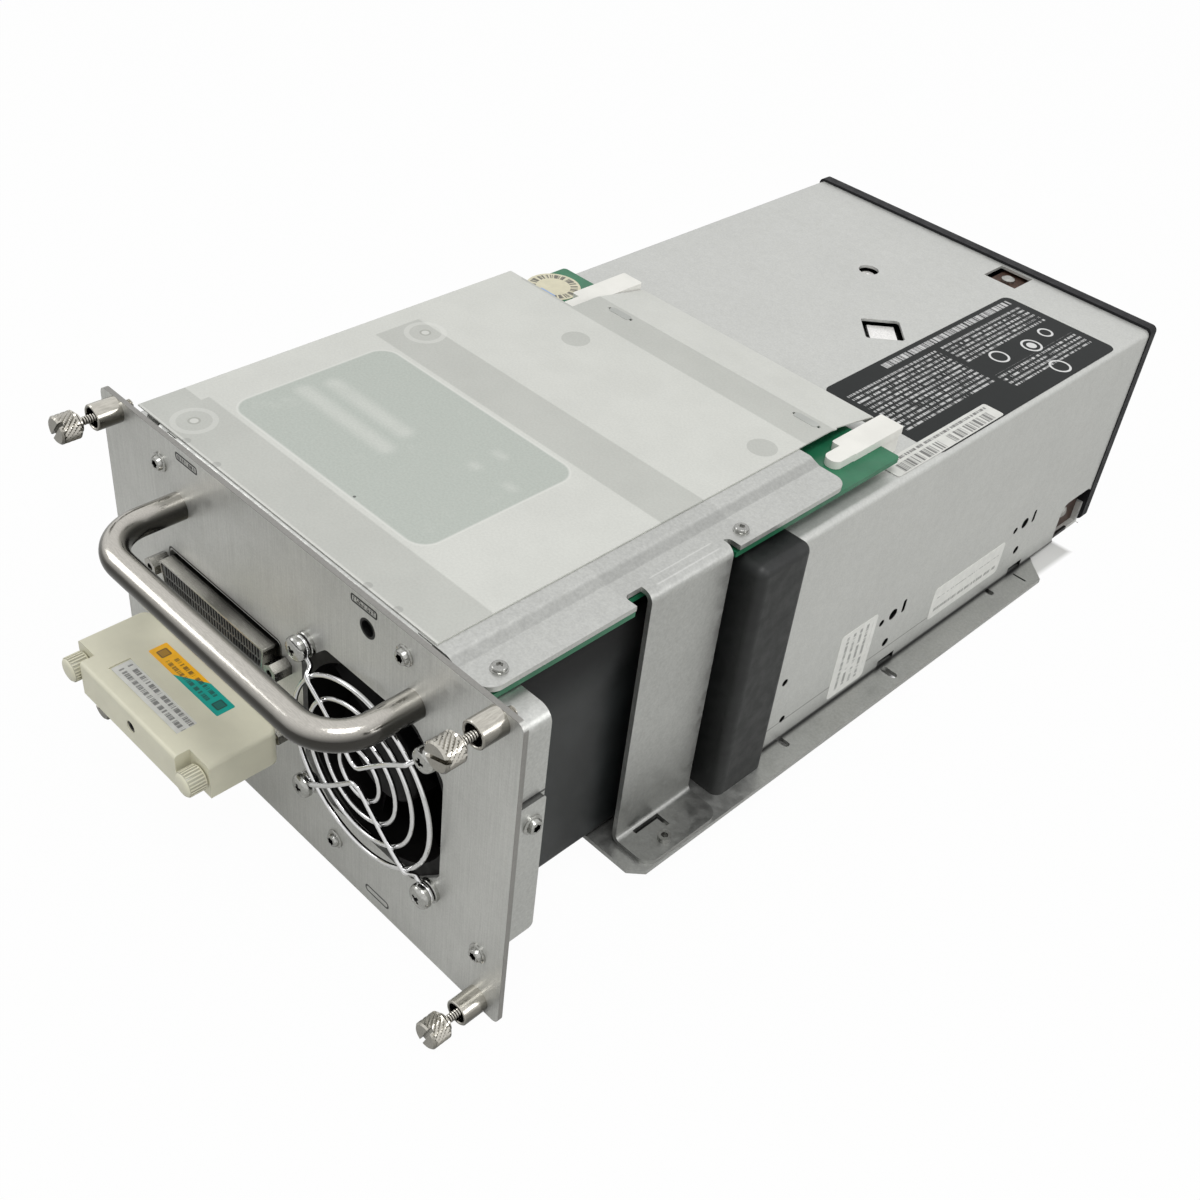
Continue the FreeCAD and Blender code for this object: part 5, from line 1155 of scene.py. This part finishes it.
class TAPEDRIVE_OT_labels(bpy.types.Operator):
    """Plain labels of the drive, the panel and the board, and what shows in the cover's holes"""
    bl_idname = "tapedrive.labels"
    bl_label = "Labels"

    def execute(self, context):
        thin = size("label_thickness")
        top, flank = DRIVE_TOP + thin, DRIVE_SIDE + thin
        for name, low, high, axis, radius, finish, slot in (
                ("rating_label", (27.3, 180.0, DRIVE_TOP), (71.6, 285.5, top), "Z", 3.0,
                 "charcoal_print", "black_plastic"),
                ("bar_label", (63.6, 160.0, top), (71.2, 216.0, top + thin), "Z", 1.0,
                 "bar_print", "white_plastic"),
                ("side_label_long", (DRIVE_SIDE, 203.0, 22.0), (flank, 246.0, 35.5), "X", 1.5,
                 "side_print_long", "white_plastic"),
                ("side_label_tall", (DRIVE_SIDE, 149.0, 17.5), (flank, 168.0, 44.0), "X", 1.5,
                 "side_print_tall", "white_plastic"),
                ("port_label", (-45.5, -thin, 49.0), (-22.0, 0.0, 53.2), "Y", 0.4,
                 "red_print", "white_plastic")):
            sticker(name, low, high, axis, radius, "sled", finish)
        disc = lying("hole_plate", HOLE_PLATE, 40, (*ROUND_HOLE, 95.2))
        finished(disc, "sled", "hole_metal")
        finished(diamond_plate(), "sled", "hole_metal")
        for side, x in FILM_SLOTS.items():
            sticker("slot_cover_" + side, (x - 4.2, 146.8, 107.9), (x + 4.2, 149.4, 108.12), "Z", 1.0,
                    "sled", "slot_cover")
        disc = lying("round_sticker", STICKER_DISC, 64, (*ROUND_STICKER, 103.6))
        finished(disc, "sled", "round_print")
        return {"FINISHED"}


def lying(name, profile, sides, where):
    """A turned shape laid on a place."""
    pattern = turned("disc_pattern", profile, sides)
    made = placed(pattern, where, UP, 0.0, name)
    bpy.data.objects.remove(pattern)
    return made


def diamond_plate():
    """A square plate with a raised middle, turned onto its corner."""
    x, y = DIAMOND_HOLE
    plate = block("diamond_plate", (x - 6.8, y - 6.8, 95.0), (x + 6.8, y + 6.8, 95.5))
    with opened(plate, "FACE", lambda centre, normal: normal.z > 0.9):
        bpy.ops.mesh.inset(thickness=1.9 * MM)
        extrude(0, 0, 1.3)
        draw_in(0.95, spot(x, y, 0))
    with opened(plate):
        bpy.ops.transform.rotate(value=math.pi / 4, orient_axis="Z", center_override=spot(x, y, 0))
    return modified(plate, "BEVEL", width=0.25 * MM, segments=2)


# ------------------------------------------------------------------ stage
def floor_paper():
    """White paper that keeps the object's shadow. Under the tray it keeps its own shade, so that the
    tray's slots show dark."""
    material = bpy.data.materials.new("floor_paper")
    paper = Nodes(material)
    rays = paper.node("LightPath").outputs
    mirrored = paper.math("MULTIPLY_ADD", rays["Is Glossy Ray"], FLOOR_MIRRORED,
                          rays["Is Transmission Ray"])
    share = paper.math("MULTIPLY_ADD", rays["Is Camera Ray"], FLOOR_SEEN, mirrored)
    place = paper.node("NewGeometry").outputs["Position"]
    offset = paper.vector("SUBTRACT", place, spot(0, TRAY_MIDDLE, 0))
    away = paper.node("SeparateXYZ", {0: paper.vector("ABSOLUTE", offset)}).outputs
    along = paper.node("SeparateXYZ", {0: offset}).outputs[1]
    across = paper.math("MULTIPLY_ADD", along, -TRAY_SPLAY, away[0])
    beyond = paper.most(*(paper.ramp(value, edge, edge + TRAY_BLUR, kind="LINEAR")
                          for value, edge in ((across, TRAY_HALF_WIDTH), (away[1], TRAY_HALF_LENGTH))))
    paper.mixed_shader(paper.both(share, beyond), paper.node("BsdfDiffuse", {0: (0.62, 0.62, 0.61, 1)}),
                       paper.node("Emission", {1: 1.0}), "OutputMaterial")
    return material


def studio_world():
    """Even room light, with plain white behind the object and in what it mirrors."""
    world = bpy.data.worlds.new("studio")
    room = Nodes(world)
    rays = room.node("LightPath").outputs
    seen = room.most(rays["Is Camera Ray"], room.most(rays["Is Transmission Ray"], rays["Is Glossy Ray"]))
    room.mixed_shader(seen, room.node("Background", {0: (0.985, 0.99, 0.97, 1), 1: 0.55}),
                      room.node("Background", {0: (1, 1, 1, 1), 1: 1.0}), "OutputWorld")
    return world


def add_lamps():
    """Soft square lamps, each turned to the object's middle."""
    middle = (CAD_LOW + CAD_HIGH) / 2
    for name, where, wide, power in LAMPS:
        bpy.ops.object.light_add(type="AREA", location=middle + Vector(where))
        lamp = bpy.context.object
        lamp.name = name
        lamp.data.size = wide
        lamp.data.energy = power
        lamp.rotation_euler = (-Vector(where)).to_track_quat("-Z", "Y").to_euler()


def add_camera():
    """The camera, from its place, its angles round and above the object, and its roll."""
    bpy.ops.object.camera_add(location=spot(*CAMERA_PLACE))
    camera = bpy.context.object
    turn, rise, roll = (math.radians(value) for value in CAMERA_ANGLES)
    ahead = -Vector((math.sin(turn) * math.cos(rise), -math.cos(turn) * math.cos(rise), math.sin(rise)))
    right = ahead.cross(Vector((0, 0, 1))).normalized()
    down = ahead.cross(right)
    side = math.cos(roll) * right - math.sin(roll) * down
    up = -(math.cos(roll) * down + math.sin(roll) * right)
    camera.rotation_euler = Matrix((side, up, -ahead)).transposed().to_euler()
    camera.data.lens = CAMERA_LENS
    camera.data.clip_start = 0.01
    return camera


class TAPEDRIVE_OT_stage(bpy.types.Operator):
    """Floor, background, lamps and camera"""
    bl_idname = "tapedrive.stage"
    bl_label = "Stage"

    def execute(self, context):
        context.scene.view_settings.view_transform = "Standard"
        clear_selection()
        bpy.ops.mesh.primitive_plane_add(size=6.0, location=spot(0, 0, 0),
                                         rotation=(math.atan2(FLOOR_RISE, FLOOR_RUN), 0, 0))
        floor = context.object
        floor.name = "floor"
        floor.data.materials.append(floor_paper())
        context.scene.world = studio_world()
        add_lamps()
        context.scene.camera = add_camera()
        return {"FINISHED"}


OPERATORS = (TAPEDRIVE_OT_finishes, TAPEDRIVE_OT_screws, TAPEDRIVE_OT_thumbscrews, TAPEDRIVE_OT_handle,
             TAPEDRIVE_OT_guard, TAPEDRIVE_OT_ports, TAPEDRIVE_OT_terminator, TAPEDRIVE_OT_labels,
             TAPEDRIVE_OT_stage)


class TAPEDRIVE_PT_panel(bpy.types.Panel):
    """Lists the pieces, the sizes and the colours"""
    bl_idname = "TAPEDRIVE_PT_panel"
    bl_label = "Tape drive"
    bl_space_type = "VIEW_3D"
    bl_region_type = "UI"
    bl_category = "Tape drive"

    def draw(self, context):
        for made in OPERATORS:
            self.layout.operator(made.bl_idname)
        for group in (context.scene.drive_sizes, context.scene.drive_colours):
            for name in type(group).__annotations__:
                self.layout.prop(group, name)


def register():
    for made in (DriveSizes, DriveColours, *OPERATORS, TAPEDRIVE_PT_panel):
        bpy.utils.register_class(made)
    bpy.types.Scene.drive_sizes = bpy.props.PointerProperty(type=DriveSizes)
    bpy.types.Scene.drive_colours = bpy.props.PointerProperty(type=DriveColours)


def unregister():
    del bpy.types.Scene.drive_colours, bpy.types.Scene.drive_sizes
    for made in (TAPEDRIVE_PT_panel, *reversed(OPERATORS), DriveColours, DriveSizes):
        bpy.utils.unregister_class(made)


def main():
    register()
    for made in OPERATORS:
        group, name = made.bl_idname.split(".")
        getattr(getattr(bpy.ops, group), name)()


if __name__ == "__main__":
    main()
